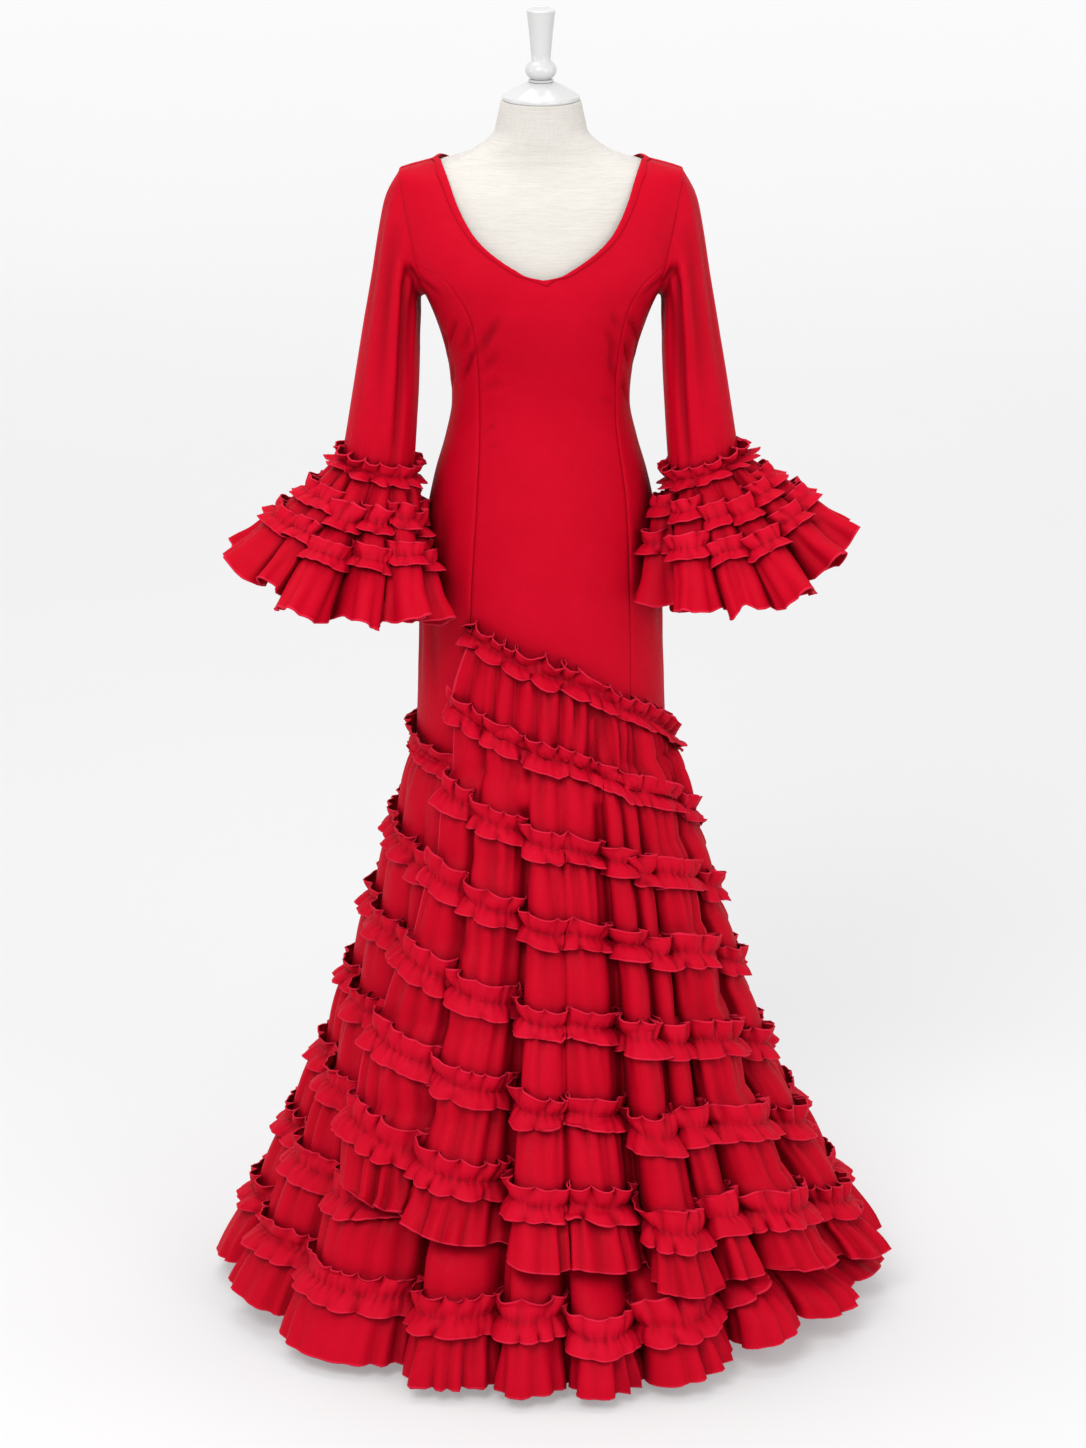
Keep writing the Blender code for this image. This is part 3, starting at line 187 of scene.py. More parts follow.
TIER_GRID = (0.0066, 0.0100)
FLAP_GRID = (0.0054, 0.0085)
CUFF_GRID = (0.0040, 0.0055)
UNDER_STRIP_ALONG = 0.0037
FLAP_STRIP_ALONG = 0.0033
CUFF_STRIP_ALONG = 0.0027
STRIP_ACROSS = 0.0044
EVENED_OVER = 7 * FINE              # columns that the tiers' outward directions are evened over
CENTRE_COLUMNS = round(34 * FINE)   # points across half of the front's middle panel
BACK_COLUMNS = round(30 * FINE)
SIDE_COLUMNS = round(26 * FINE)
BINDING_COLUMNS = 9
BINDING_OVERLAP = 0.0006            # the binding reaches this far over the edge of the neckline
SLEEVE_COLUMNS = round(120 * FINE)
FORM_COLUMNS = 120

CLOTH_HALF = 0.00045                # half the thickness of the shown cloth
TRIM_WIDTH = 0.0024                 # width of the edges that take the second surface
ROLLED_EDGE = (
    # from the edge, half thickness there: a narrow rolled hem
    (0.0000, 0.00060), (0.0010, 0.00125), (0.0023, 0.00055),
)
TUBE_SHARP = 0.988                  # 1 would make the bottoms of the skirt's folds a knife edge
TUBE_POWER = 2.05                   # 2 makes the tubes between them round, more makes them flatter
FOLD_DEEPER = 1.55                  # the shown cloth falls in this much deeper than the plain solid
SIDE_SAG = ((-100, 0.0), (-80, 0.005), (-62, 0.014), (-48, 0.022), (-30, 0.008), (-10, 0.0), (100, 0.0))
FOLD_SKEW = 0.76                    # below 1 a tube rises steeply on one side and falls gently on the other
UNDER_LEAN = 1.6                    # degrees that a fold's bottom runs in beneath the next tube
UNDER_GAPS = (0.08, 0.05, 0.12, 0.07, 0.10, 0.06, 0.11, 0.08, 0.05, 0.10, 0.07, 0.12, 0.06, 0.09, 0.05, 0.11)
FLAP_GAPS = (0.03, 0.17, 0.02, 0.15, 0.10, 0.14, 0.10, 0.05)
FLAP_CRESTS = (0.0, 0.0, 0.05, -0.22, 0.10, -0.08, 0.05, 0.0)
FLAP_LEANS = (0.0, 1.5, 2.5, 1.0, 2.5, 1.5, 2.0, 1.5, 0.0)
FIRST_ROW_RISE = ((-100, 0.013), (-78, 0.012), (-50, 0.0), (-36, -0.003), (100, 0.0))
RUFFLE_WAVE = 0.030                 # mean length of a ruffle's waves
RUFFLE_FLARE = 0.0090               # mean distance of its free edges from the cloth
RUFFLE_SWING = 0.0066               # and how far they wave to and fro
STRIP_TRIM = 0.78                   # width of the skirt's strips as a share of the solids'
RUFFLE_CURL = 0.0036                # sideways roll of the waves, which makes them bulge
SHIRR_WAVE = 0.0105                 # small puckers at a ruffle's gathered middle
TIER_WAVE = 0.047                   # mean length of a tier's flutes
LAST_TIER_WAVE = 0.034
GATHER_WAVE = 0.0240                # of the gathers beneath a tier's upper seam
LOW_GATHER_WAVE = 0.0260            # and of those above its lower seam
FLUTE_SWING = 0.0044                # how far the flutes and the upper gathers stand out
LOW_GATHER_SWING = 0.0015
PATCHES = 12                        # to a metre: how often the gathers grow stronger and weaker
RIB_WAVE = 0.030                    # the flap's first tier has broad ribs as well
RIB_SWING = 0.0075
FLAP_IN = -0.0040                   # the flap's flutes fall in no deeper than this
SHIRR_SWING = 0.0021
RUFFLE_ROLL = 0.0030                # slow sideways roll of a ruffle's edges
ROLL_LENGTH = 0.050                 # mean lengths over which the roll, the size of the waves
SIZE_LENGTH = 0.043                 # and the width of a ruffle change
REACH_LENGTH = 0.031
RUFFLE_EVENED = 0.030               # length that a ruffle's outward directions are evened over
STRIP_SLANT = 0.96                  # height over width of the skirt's ruffles
CUFF_STRIP_SLANT = 0.9
UNEVEN_ROWS = 0.0035                # the underskirt's ruffles sit this much higher or lower by the fold
FLAP_OVERHANG = (0.009, 0.003)      # how far its ruffles reach past the flap's free edge, and how unevenly
FIRST_FLAP_RUFFLE = {"length": 0.028, "swing": 0.0105, "curl": 0.0080, "wander": 0.34, "least": 0.75}
FLAP_RUFFLE = {"swing": 0.0078, "curl": 0.0040}
CUFF_RUFFLE_FLARE = 0.0055
CUFF_RUFFLES = (
    # from the top one down
    {"length": 0.023, "swing": 0.0105, "curl": 0.0085, "wander": 0.30},
    {"length": 0.026, "swing": 0.0056},
    {"length": 0.029, "swing": 0.0056},
)
CUFF_FLUTE_WAVE = 0.027
CUFF_FLUTE_SWING = 0.0014
CUFF_GATHER_WAVE = 0.012
CUFF_GATHER_SWING = 0.0010
SLEEVE_GATHER_WAVE = 0.022
SLEEVE_GATHER_SWING = 0.0011
SEAM_DIP = (0.0013, 0.0016)         # depth and half width of the groove along a panel's seam
SEAM_SWELL = (0.00035, 0.0030, 0.0060)      # height, half width and distance of the swelling beside it
SOFT_CLOTH = (
    # bumps to a metre along x and z, where they start, their height, seed
    (16, 11, 40, 7, 0.00055, 11), (45, 26, 80, 3, 0.00030, 12),
)

CREASE_DEEPER = 2.4
CREASE_DARKEST = 0.0033             # depth at which a crease takes the whole of its shadow

CREASES = (
    # (angle, z) to (angle, z) on the sheath, half width of the crease, depth (minus is a ridge)
    ((-59, 1.287), (-40, 1.336), 0.0050, 0.0022),
    ((-65, 1.338), (-49, 1.373), 0.0050, 0.0018),
    ((-52, 1.330), (-38, 1.369), 0.0060, 0.0010),
    ((-39, 1.325), (-19, 1.383), 0.0090, 0.0013),
    ((-40, 1.300), (-23, 1.337), 0.0080, 0.0007),
    ((-38, 1.279), (-25, 1.293), 0.0070, 0.0006),
    ((-39, 1.222), (-29, 1.235), 0.0045, 0.0007),
    ((-38, 1.199), (-26, 1.205), 0.0045, 0.0005),
    ((-70, 1.336), (-50, 1.380), 0.0040, -0.0006),
    ((-63, 1.288), (-46, 1.330), 0.0040, -0.0006),
    ((-84, 1.300), (-66, 1.352), 0.0055, 0.0014),
    ((-86, 1.262), (-68, 1.304), 0.0055, 0.0012),
    ((57, 1.280), (41, 1.336), 0.0085, 0.0011),
    ((52, 1.318), (35, 1.366), 0.0075, 0.0011),
    ((46, 1.358), (35, 1.388), 0.0060, 0.0010),
    ((69, 1.306), (54, 1.343), 0.0050, 0.0019),
    ((74, 1.338), (49, 1.377), 0.0055, 0.0016),
    ((77, 1.250), (60, 1.287), 0.0045, 0.0014),
    ((72, 1.256), (57, 1.292), 0.0040, -0.0006),
    ((55, 1.253), (41, 1.267), 0.0060, 0.0005),
    ((86, 1.296), (70, 1.348), 0.0055, 0.0013),
    ((-56, 1.120), (-62, 0.960), 0.0150, 0.0007),
    ((-70, 1.060), (-58, 0.860), 0.0140, 0.0009),
    ((-84, 1.020), (-80, 0.850), 0.0150, 0.0011),
    ((60, 1.110), (66, 0.960), 0.0150, 0.0007),
    ((82, 1.040), (76, 0.930), 0.0150, 0.0009),
    ((-66, 1.426), (-52, 1.404), 0.0080, 0.0011),
    ((67, 1.428), (53, 1.406), 0.0080, 0.0011),
    ((112, 1.262), (132, 1.312), 0.0065, 0.0014),
    ((-110, 1.258), (-130, 1.310), 0.0065, 0.0014),
    ((104, 1.300), (122, 1.352), 0.0060, 0.0014),
    ((-104, 1.302), (-124, 1.354), 0.0060, 0.0014),
    ((118, 1.226), (148, 1.240), 0.0070, 0.0011),
    ((-116, 1.228), (-146, 1.238), 0.0070, 0.0011),
    ((128, 1.100), (118, 0.900), 0.0150, 0.0010),
    ((-130, 1.110), (-120, 0.890), 0.0150, 0.0010),
    ((160, 1.020), (168, 0.830), 0.0150, 0.0008),
    ((-164, 1.030), (-158, 0.830), 0.0150, 0.0008),
    ((122, 1.430), (140, 1.360), 0.0120, 0.0010),
    ((-122, 1.428), (-142, 1.356), 0.0120, 0.0010),
)
SLEEVE_CREASES = (
    # (turn, share down) to (turn, share down) on the +X sleeve, half width, depth
    ((104, 0.16), (117, 0.995), 0.0075, 0.0034),
    ((124, 0.26), (127, 0.86), 0.0110, 0.0020),
    ((103, 0.17), (134, 0.05), 0.0065, 0.0018),
    ((92, 0.20), (103, 0.98), 0.0090, -0.0009),
    ((60, 0.08), (78, 0.88), 0.0170, 0.0011),
    ((22, 0.08), (38, 0.90), 0.0150, 0.0009),
    ((178, 0.12), (182, 0.66), 0.0090, 0.0014),
    ((256, 0.14), (243, 0.98), 0.0075, 0.0030),
    ((236, 0.10), (216, 0.66), 0.0100, 0.0018),
    ((300, 0.08), (286, 0.86), 0.0170, 0.0011),
    ((334, 0.10), (326, 0.84), 0.0150, 0.0009),
)


# ---------------------------------------------------------------- general helpers
def hermite(t, start, end, leaving, arriving, width=1.0):
    """From one value to another with given slopes; t runs from 0 to 1 over the width."""
    return ((2 * t**3 - 3 * t**2 + 1) * start + (t**3 - 2 * t**2 + t) * width * leaving
            + (3 * t**2 - 2 * t**3) * end + (t**3 - t**2) * width * arriving)


def smooth_curve(points, column=1):
    """A smooth curve through the rows of a table, by its first column."""
    rows = sorted(points)
    xs = np.array([row[0] for row in rows], float)
    ys = np.array([row[column] for row in rows], float)
    step = np.diff(xs)
    rise = np.diff(ys) / step
    slope = np.concatenate([rise[:1], (rise[:-1] + rise[1:]) / 2, rise[-1:]])
    slope[np.where(rise[:-1] * rise[1:] <= 0)[0] + 1] = 0.0

    def value(x):
        x = np.clip(np.asarray(x, float), xs[0], xs[-1])
        i = np.clip(np.searchsorted(xs, x) - 1, 0, len(step) - 1)
        return hermite((x - xs[i]) / step[i], ys[i], ys[i + 1], slope[i], slope[i + 1], step[i])

    return value


def ease(x, start, end):
    """From 0 to 1 between two places, level at both."""
    t = np.clip((np.asarray(x, float) - start) / (end - start), 0.0, 1.0)
    return t * t * (3 - 2 * t)


def unit(vectors):
    return vectors / np.maximum(np.linalg.norm(vectors, axis=-1, keepdims=True), 1e-12)


def mirror(points, side):
    return points * np.array([side, 1.0, 1.0])


def side_name(side):
    return "left" if side > 0 else "right"


def on_grid(place, level):
    """A row of places and a column of levels, each as the whole grid."""
    return np.broadcast_arrays(place[None], level)


def drift(x, seed, period=0):
    """Smooth irregular values between -1 and 1, one lattice value a unit; period joins its ends."""
    table = np.random.default_rng(seed).uniform(-1, 1, 8192)
    i = np.floor(x).astype(int)
    t = x - i
    t = t * t * (3 - 2 * t)
    size = int(period) if period else 8192
    return table[i % size] * (1 - t) + table[(i + 1) % size] * t


def drift2(x, y, seed):
    """The same over two directions."""
    table = np.random.default_rng(seed).uniform(-1, 1, (512, 512))
    i, j = np.floor(x).astype(int), np.floor(y).astype(int)
    s, t = x - i, y - j
    s, t = s * s * (3 - 2 * s), t * t * (3 - 2 * t)
    a, b = table[i % 512, j % 512], table[(i + 1) % 512, j % 512]
    c, d = table[i % 512, (j + 1) % 512], table[(i + 1) % 512, (j + 1) % 512]
    return (a * (1 - s) + b * s) * (1 - t) + (c * (1 - s) + d * s) * t


def waves(s, total, length, seed, closed, uneven=0.32):
    """Phase of uneven waves along a row, whole ones if it is closed."""
    count = max(3, round(total / length))
    cells = max(2, round(count / 1.6))
    return 2 * math.pi * (s * count / total + uneven * drift(s * cells / total, seed, cells if closed else 0))


def tube(phase):
    """Round crests and narrow valleys, from -1 to 1."""
    raw = (np.sin(phase / 2) ** 2 + 0.03) ** 0.36
    low, high = 0.03 ** 0.36, 1.03 ** 0.36
    return 2 * (raw - low) / (high - low) - 1


def stations(length, step, rolled_start=False, rolled_end=False):
    """Distances along a length, closer together where an edge is rolled."""
    head = [row[0] for row in ROLLED_EDGE] if rolled_start else [0.0]
    tail = [length - row[0] for row in reversed(ROLLED_EDGE)] if rolled_end else [length]
    count = max(2, round((tail[0] - head[-1]) / (step / FINE)))
    return np.concatenate([head, np.linspace(head[-1], tail[0], count + 1)[1:-1], tail])


rolled = smooth_curve(ROLLED_EDGE)


def edge_half(distance):
    """Half thickness at a distance from a rolled edge."""
    last = ROLLED_EDGE[-1][0]
    return np.where(distance <= last, rolled(distance), CLOTH_HALF)


def grid_normals(points, closed, facing=1):
    down = np.gradient(points, axis=0)
    if closed:
        across = np.roll(points, -1, axis=1) - np.roll(points, 1, axis=1)
    else:
        across = np.gradient(points, axis=1)
    return unit(np.cross(down, across)) * facing


def smooth_along(values, window, closed):
    """Running mean along the columns."""
    window = max(1, int(window)) | 1
    if window == 1:
        return values
    half = window // 2
    if closed:
        padded = np.concatenate([values[:, -half:], values, values[:, :half]], axis=1)
    else:
        before, after = np.repeat(values[:, :1], half, 1), np.repeat(values[:, -1:], half, 1)
        padded = np.concatenate([before, values, after], axis=1)
    total = np.cumsum(np.concatenate([np.zeros_like(padded[:, :1]), padded], axis=1), axis=1)
    return (total[:, window:] - total[:, :-window]) / window


MADE = {}                           # the pieces, by name


def linked(name, data):
    """A new object in the scene."""
    made = bpy.data.objects.new(name, data)
    bpy.context.scene.collection.objects.link(made)
    return made


def piece_of(mesh, surfaces):
    """The piece that a mesh makes, under the mesh's name."""
    made = MADE[mesh.name] = linked(mesh.name, mesh)
    for surface in surfaces:
        mesh.materials.append(surface)
    return made


def mark(piece, kind, values):
    """Store a value for each point of a shell's grid, for the surface to read."""
    flat = np.asarray(values, np.float32).reshape(-1)
    layer = piece.data.attributes.new(kind, "FLOAT", "POINT")
    layer.data.foreach_set("value", np.concatenate([flat, flat]))


def valley(height):
    """1 at the bottoms of waves that run from -1 to 1, and 0 on their upper halves."""
    return np.clip((0.1 - height) / 1.1, 0.0, 1.0)


def mesh_shell(name, points, normals, half, quads, uv, trim, surfaces):
    """A closed thin shell; trim marks the quads that take the second surface."""
    count = len(points)
    coords = np.concatenate([points + normals * half[:, None], points - normals * half[:, None]])
    starts, ends = quads.reshape(-1), np.roll(quads, -1, axis=1).reshape(-1)
    alone = ~np.isin(starts * count + ends, ends * count + starts)
    a, b = starts[alone], ends[alone]
    owner = np.repeat(np.arange(len(quads)), 4)[alone]
    faces = np.concatenate([quads, quads[:, ::-1] + count, np.stack([b, a, a + count, b + count], axis=1)])
    kind = np.concatenate([trim, trim, trim[owner]]).astype(np.int32)
    mesh = bpy.data.meshes.new(name)
    mesh.vertices.add(len(coords))
    mesh.vertices.foreach_set("co", coords.astype(np.float32).reshape(-1))
    mesh.loops.add(faces.size)
    mesh.loops.foreach_set("vertex_index", faces.astype(np.int32).reshape(-1))
    mesh.polygons.add(len(faces))
    mesh.polygons.foreach_set("loop_start", np.arange(len(faces), dtype=np.int32) * 4)
    mesh.polygons.foreach_set("loop_total", np.full(len(faces), 4, np.int32))
    mesh.polygons.foreach_set("material_index", kind)
    mesh.update(calc_edges=True)
    layer = mesh.uv_layers.new(name="UVMap")
    both = np.concatenate([uv, uv])
    layer.data.foreach_set("uv", both[faces.reshape(-1)].astype(np.float32).reshape(-1))
    mesh.validate()
    mesh.shade_smooth()
    return piece_of(mesh, surfaces)


def ring_solid(name, rings, surface, sharp):
    """A closed solid through rings of points, from the lowest up; sharp is in degrees."""
    rows, count = rings.shape[:2]
    mesh = bpy.data.meshes.new(name)
    faces = [tuple(int(i) for i in quad[::-1]) for quad in grid_quads(rows, count, True)]
    faces.append(tuple(reversed(range(count))))
    faces.append(tuple((rows - 1) * count + i for i in range(count)))
    mesh.from_pydata([tuple(p) for p in rings.reshape(-1, 3)], [], faces)
    mesh.validate()
    mesh.shade_smooth()
    mesh.set_sharp_from_angle(angle=math.radians(sharp))
    piece_of(mesh, [surface])


def index_quads(index, flip):
    """Four-sided faces between the rows of a table of point numbers."""
    quads = np.stack([index[:-1, :-1], index[:-1, 1:], index[1:, 1:], index[1:, :-1]], axis=-1).reshape(-1, 4)
    return quads[:, ::-1] if flip else quads


def grid_quads(rows, columns, closed):
    r, c = np.meshgrid(np.arange(rows - 1), np.arange(columns if closed else columns - 1), indexing="ij")
    nxt = (c + 1) % columns
    return np.stack([r * columns + c, (r + 1) * columns + c, (r + 1) * columns + nxt, r * columns + nxt],
                    axis=-1).reshape(-1, 4)


def grid_shell(name, points, down, along, surfaces, closed=False, facing=1, edges="", gather=None,
               crease=None, normals=None, half=None):
    """A shell on a grid of points, rows running down; edges names its rolled ones (t, b, l, r)."""
    rows, columns = points.shape[:2]
    normals = grid_normals(points, closed, facing) if normals is None else normals
    far = np.full((rows, columns), 1.0)
    left, top = on_grid(along, down[:, None])
    for letter, distance in (("t", top), ("b", down[-1] - top), ("l", left), ("r", along[-1] - left)):
        if letter in edges:
            far = np.minimum(far, distance)
    half = edge_half(far) if half is None else half
    quads = grid_quads(rows, columns, closed)
    trim = far.reshape(-1)[quads].mean(axis=1) < TRIM_WIDTH
    if facing < 0:
        quads = quads[:, ::-1]
    uv = np.stack(np.broadcast_arrays(along[None], -down[:, None]), axis=-1).reshape(-1, 2)
    piece = mesh_shell(name, points.reshape(-1, 3), normals.reshape(-1, 3), half.reshape(-1), quads, uv,
                       trim.astype(int), surfaces)
    # gather marks where the surface puckers the cloth and paints shade in the puckers; the crease mask marks
    # where it paints shade along creases
    for kind, values in (("gather", gather), ("crease", crease)):
        if values is not None:
            mark(piece, kind, values)
    return piece


def lengths(points, closed=False):
    """Distance along a line of points, and its whole length."""
    steps = np.linalg.norm(np.diff(points, axis=0), axis=-1)
    at = np.concatenate([[0.0], np.cumsum(steps)])
    total = at[-1] + (np.linalg.norm(points[0] - points[-1]) if closed else 0.0)
    return at, total


# ---------------------------------------------------------------- the fitted sheath
half_width = smooth_curve(SHEATH_SECTIONS, 1)
depth_front = smooth_curve(SHEATH_SECTIONS, 2)
depth_back = smooth_curve(SHEATH_SECTIONS, 3)
squareness = smooth_curve(SHEATH_SECTIONS, 4)


def sheath_point(angle, z):
    sine, cosine = np.sin(np.radians(angle)), np.cos(np.radians(angle))
    power = 2.0 / squareness(z)
    depth = np.where(cosine > 0, depth_front(z), depth_back(z))
    x = half_width(z) * np.sign(sine) * np.abs(sine) ** power
    y = -depth * np.sign(cosine) * np.abs(cosine) ** power
    return np.stack([x, y, z + 0.0 * x], axis=-1)


def sheath_normal(angle, z):
    small = 1e-3
    across = sheath_point(angle + small, z) - sheath_point(angle - small, z)
    top = SHEATH_SECTIONS[-1][0]
    up = (sheath_point(angle, np.minimum(z + small, top))
          - sheath_point(angle, np.minimum(z + small, top) - 2 * small))
    return unit(np.cross(across, up))


def angle_at(x, z, back=False):
    share = np.clip(x / half_width(z), 0.0, 1.0)
    angle = math.degrees(math.asin(share ** (squareness(z) / 2)))
    return 180.0 - angle if back else angle


def armhole_x(z):
    return UNDERARM[0] + (z - UNDERARM[1]) / (SHOULDER[1] - UNDERARM[1]) * (SHOULDER[0] - UNDERARM[0])


def armhole_angle(z, back=False):
    if z <= UNDERARM[1] or z >= SHOULDER[1]:
        return 90.0
    return angle_at(armhole_x(z), z, back)


def seam_table(back, side):
    seams, top = (BACK_SEAMS, BACK_SEAM_TOP) if back else (FRONT_SEAMS, FRONT_SEAM_TOP)
    return smooth_curve(seams + ((top, armhole_x(top), armhole_x(top)),), 1 if side < 0 else 2), top


PANEL_LEVELS = np.linspace(SHEATH_BOTTOM + SEAM_GAP, PANEL_TOP, round(92 * FINE))
BETWEEN = round(12 * FINE)
NECK_STEPS = round(34 * FINE)


def centre_rows(back, side):
    """Rows of a centre panel's half: ((angle, z) at the middle or neck, (angle, z) outside)."""
    seam, seam_top = seam_table(back, side)
    neck = NECKLINE_BACK if back else NECKLINE_FRONT
    neck_x = smooth_curve(neck)
    neck_low, neck_high = neck[0][0], neck[-1][0]
    lean = 0.0 if back else side * NECK_LEAN

    def middle(z):
        angle = math.degrees(lean * float(ease(z, 1.25, neck_low)) / float(half_width(z)))
        return 180.0 if back else angle

    rows = [((middle(z), z), (angle_at(seam(z), z, back), z)) for z in PANEL_LEVELS]
    for inner_z, outer_z in zip(np.linspace(PANEL_TOP, neck_low, BETWEEN + 1)[1:-1],
                                np.linspace(PANEL_TOP, seam_top, BETWEEN + 1)[1:-1]):
        rows.append(((middle(inner_z), inner_z), (angle_at(seam(outer_z), outer_z, back), outer_z)))
    shared = len(rows) + 1
    for step in np.arange(NECK_STEPS) / NECK_STEPS:
        share = 3 * step ** 2 - 2 * step ** 3
        z_in = neck_low + share * (neck_high - neck_low)
        z_out = seam_top + share * (SHOULDER[1] - seam_top)
        x_in = float(neck_x(z_in)) + lean * (1 - share)
        angle_in = middle(z_in) if share == 0 else angle_at(x_in, z_in, back)
        rows.append(((angle_in, z_in), (armhole_angle(z_out, back), z_out)))
    ridge = 90.0 + (RIDGE_GAP if back else -RIDGE_GAP)
    rows.append(((ridge, neck_high), (ridge, SHOULDER[1])))
    return rows, shared


def side_rows(back, side):
    """Rows of a side panel, from the panel seam to the side seam or the armhole."""
    seam, seam_top = seam_table(back, side)
    levels = np.concatenate([PANEL_LEVELS, np.linspace(PANEL_TOP, seam_top, BETWEEN * 2)[1:-1],
                             [seam_top - 0.0010, seam_top - 0.0003]])
    return [((angle_at(seam(z), z, back), z), (armhole_angle(z, back), z)) for z in levels]


def panel_shares(length, columns, inner_gap, inner_seam):
    """Places across a panel, closer together beside its seams."""
    near = np.array([0.0, 0.0007, 0.0014, 0.0023, 0.0036, 0.0055])
    low, high = inner_gap, length - PANEL_GAP / 2
    near_in = near if inner_seam else near[:1]
    room = (high - low) / 4
    scale = min(1.0, room / near[-1])
    head, tail = low + near_in * scale, high - near[::-1] * scale
    middle = np.linspace(head[-1], tail[0], columns - len(head) - len(tail) + 2)[1:-1]
    return np.concatenate([head, middle, tail]) / length


def crease_depth(points, lines, place):
    """How far cloth dips along a table of soft creases."""
    flat = points.reshape(-1, 3)
    total = np.zeros(len(flat))
    for start, end, width, depth in lines:
        t = np.linspace(0, 1, 161)
        wander = 0.12 * np.sin(2 * math.pi * t * 1.3 + 60 * width * 10)
        bend = (end[1] - start[1]) * wander * 0.4
        line = place(start[0] + (end[0] - start[0]) * (t + 0.3 * wander * t * (1 - t)),
                     start[1] + (end[1] - start[1]) * t + bend * t * (1 - t))
        close = np.where(np.linalg.norm(flat - line.mean(axis=0), axis=1)
                         < np.linalg.norm(line[0] - line[-1]) / 2 + 6 * width)[0]
        if not len(close):
            continue
        gaps = np.linalg.norm(flat[close, None] - line[None], axis=-1)
        nearest = gaps.argmin(axis=1)
        gap = gaps[np.arange(len(close)), nearest] / width
        along = np.sin(math.pi * np.clip(nearest / (len(t) - 1), 0.02, 0.98)) ** 0.7
        total[close] += depth * along * np.cos(math.pi / 2 * np.minimum(gap, 3)) * np.exp(-(gap / 1.45) ** 2)
    return CREASE_DEEPER * total.reshape(points.shape[:-1])


def row_length(row):
    """Straight distance between the two ends of a panel's row."""
    (angle_in, z_in), (angle_out, z_out) = row
    ends = sheath_point(np.array([angle_in, angle_out]), np.array([z_in, z_out]))
    return float(np.linalg.norm(ends[1] - ends[0]))


def panel_points(row, shares):
    """Points, normals and heights at shares of a panel's row."""
    (angle_in, z_in), (angle_out, z_out) = row
    angle = angle_in + shares * (angle_out - angle_in)
    z = z_in + shares * (z_out - z_in)
    return sheath_point(angle, z), sheath_normal(angle, z), z


def panel_grid(rows, columns, side, inner_gap, inner_seam):
    """A panel's points, dipped at its seams and creased, with distances for the weave and the painted shade
    of its creases.
    """
    points, out, down, along = [], [], [], []
    swell, swell_width, swell_at = SEAM_SWELL
    for row in rows:
        length = max(row_length(row), 0.004)
        shares = panel_shares(length, columns, inner_gap, inner_seam)
        place, normal, z = panel_points(row, shares)
        gap = np.minimum((length - shares * length), shares * length if inner_seam else 1.0)
        dip = SEAM_DIP[0] * np.exp(-(gap / SEAM_DIP[1]) ** 2)
        dip = dip - swell * np.exp(-((gap - swell_at) / swell_width) ** 2)
        points.append(place - normal * dip[:, None])
        out.append(normal)
        along.append(shares * length)
        down.append(z)
    points, out = mirror(np.array(points), side), mirror(np.array(out), side)
    soft = 0.0
    for sideways, upwards, first, low, lift, seed in SOFT_CLOTH:
        soft = soft + lift * drift2(points[..., 0] * sideways + first, points[..., 2] * upwards + low, seed)
    creased = crease_depth(points, CREASES, sheath_point)
    points = points + out * (soft - creased)[..., None]
    return points, np.array(along) * side, np.array(down), np.clip(creased / CREASE_DARKEST, 0, 1)


def outward_normals(points, quads):
    normals = np.zeros_like(points)
    a, b, c, d = (points[quads[:, i]] for i in range(4))
    face = np.cross(c - a, d - b)
    for i in range(4):
        np.add.at(normals, quads[:, i], face)
    return unit(normals)


def front_centre(surfaces):
    """The front's middle panel, in one piece from two mirrored halves that share a line of points."""
    grids = []
    columns = CENTRE_COLUMNS
    for side in (-1, 1):
        rows, shared = centre_rows(False, side)
        grids.append(panel_grid(rows, columns, side, 0.0, False))
    rows = len(grids[0][0])
    index = np.arange(2 * rows * columns).reshape(2, rows, columns)
    index[1, :shared, 0] = index[0, :shared, 0]
    quads = np.concatenate([index_quads(index[0], True), index_quads(index[1], False)])
    points = np.concatenate([g[0].reshape(-1, 3) for g in grids])
    uv = np.concatenate([np.stack([g[1], g[2]], axis=-1).reshape(-1, 2) for g in grids])
    normals = outward_normals(points, quads)
    unused = np.linalg.norm(normals, axis=1) < 0.5
    normals[unused] = (0, -1, 0)
    piece = mesh_shell("cloth_front_centre", points, normals, np.full(len(points), CLOTH_HALF), quads, uv,
                       np.zeros(len(quads), int), surfaces)
    # the creases' depth, as painted shade for the surface
    mark(piece, "crease", np.concatenate([g[3].reshape(-1) for g in grids]))


def panel(node, rows, columns, side, back, surfaces):
    points, along, down, creased = panel_grid(rows, columns, side, PANEL_GAP / 2, True)
    quads = index_quads(np.arange(points.shape[0] * columns).reshape(-1, columns), (side > 0) == back)
    points = points.reshape(-1, 3)
    uv = np.stack([along, down], axis=-1).reshape(-1, 2)
    half = np.full(len(points), CLOTH_HALF)
    piece = mesh_shell("cloth_" + node, points, outward_normals(points, quads), half, quads, uv,
                       np.zeros(len(quads), int), surfaces)
    # the creases' depth, as painted shade for the surface
    mark(piece, "crease", creased)


def binding_line(back, side):
    """Points and normals across the neck's binding, from the middle to the shoulder."""
    rows, shared = centre_rows(back, side)
    width = np.linspace(-BINDING_OVERLAP, BINDING_WIDTH, BINDING_COLUMNS)
    pairs = [panel_points(row, width / row_length(row))[:2] for row in rows[shared - 1:]]
    low = rows[shared - 1][0]
    straight = np.full(BINDING_COLUMNS, low[0]), low[1] - width
    pairs[0] = sheath_point(*straight), sheath_normal(*straight)
    return [(mirror(points, side), mirror(normals, side)) for points, normals in pairs]


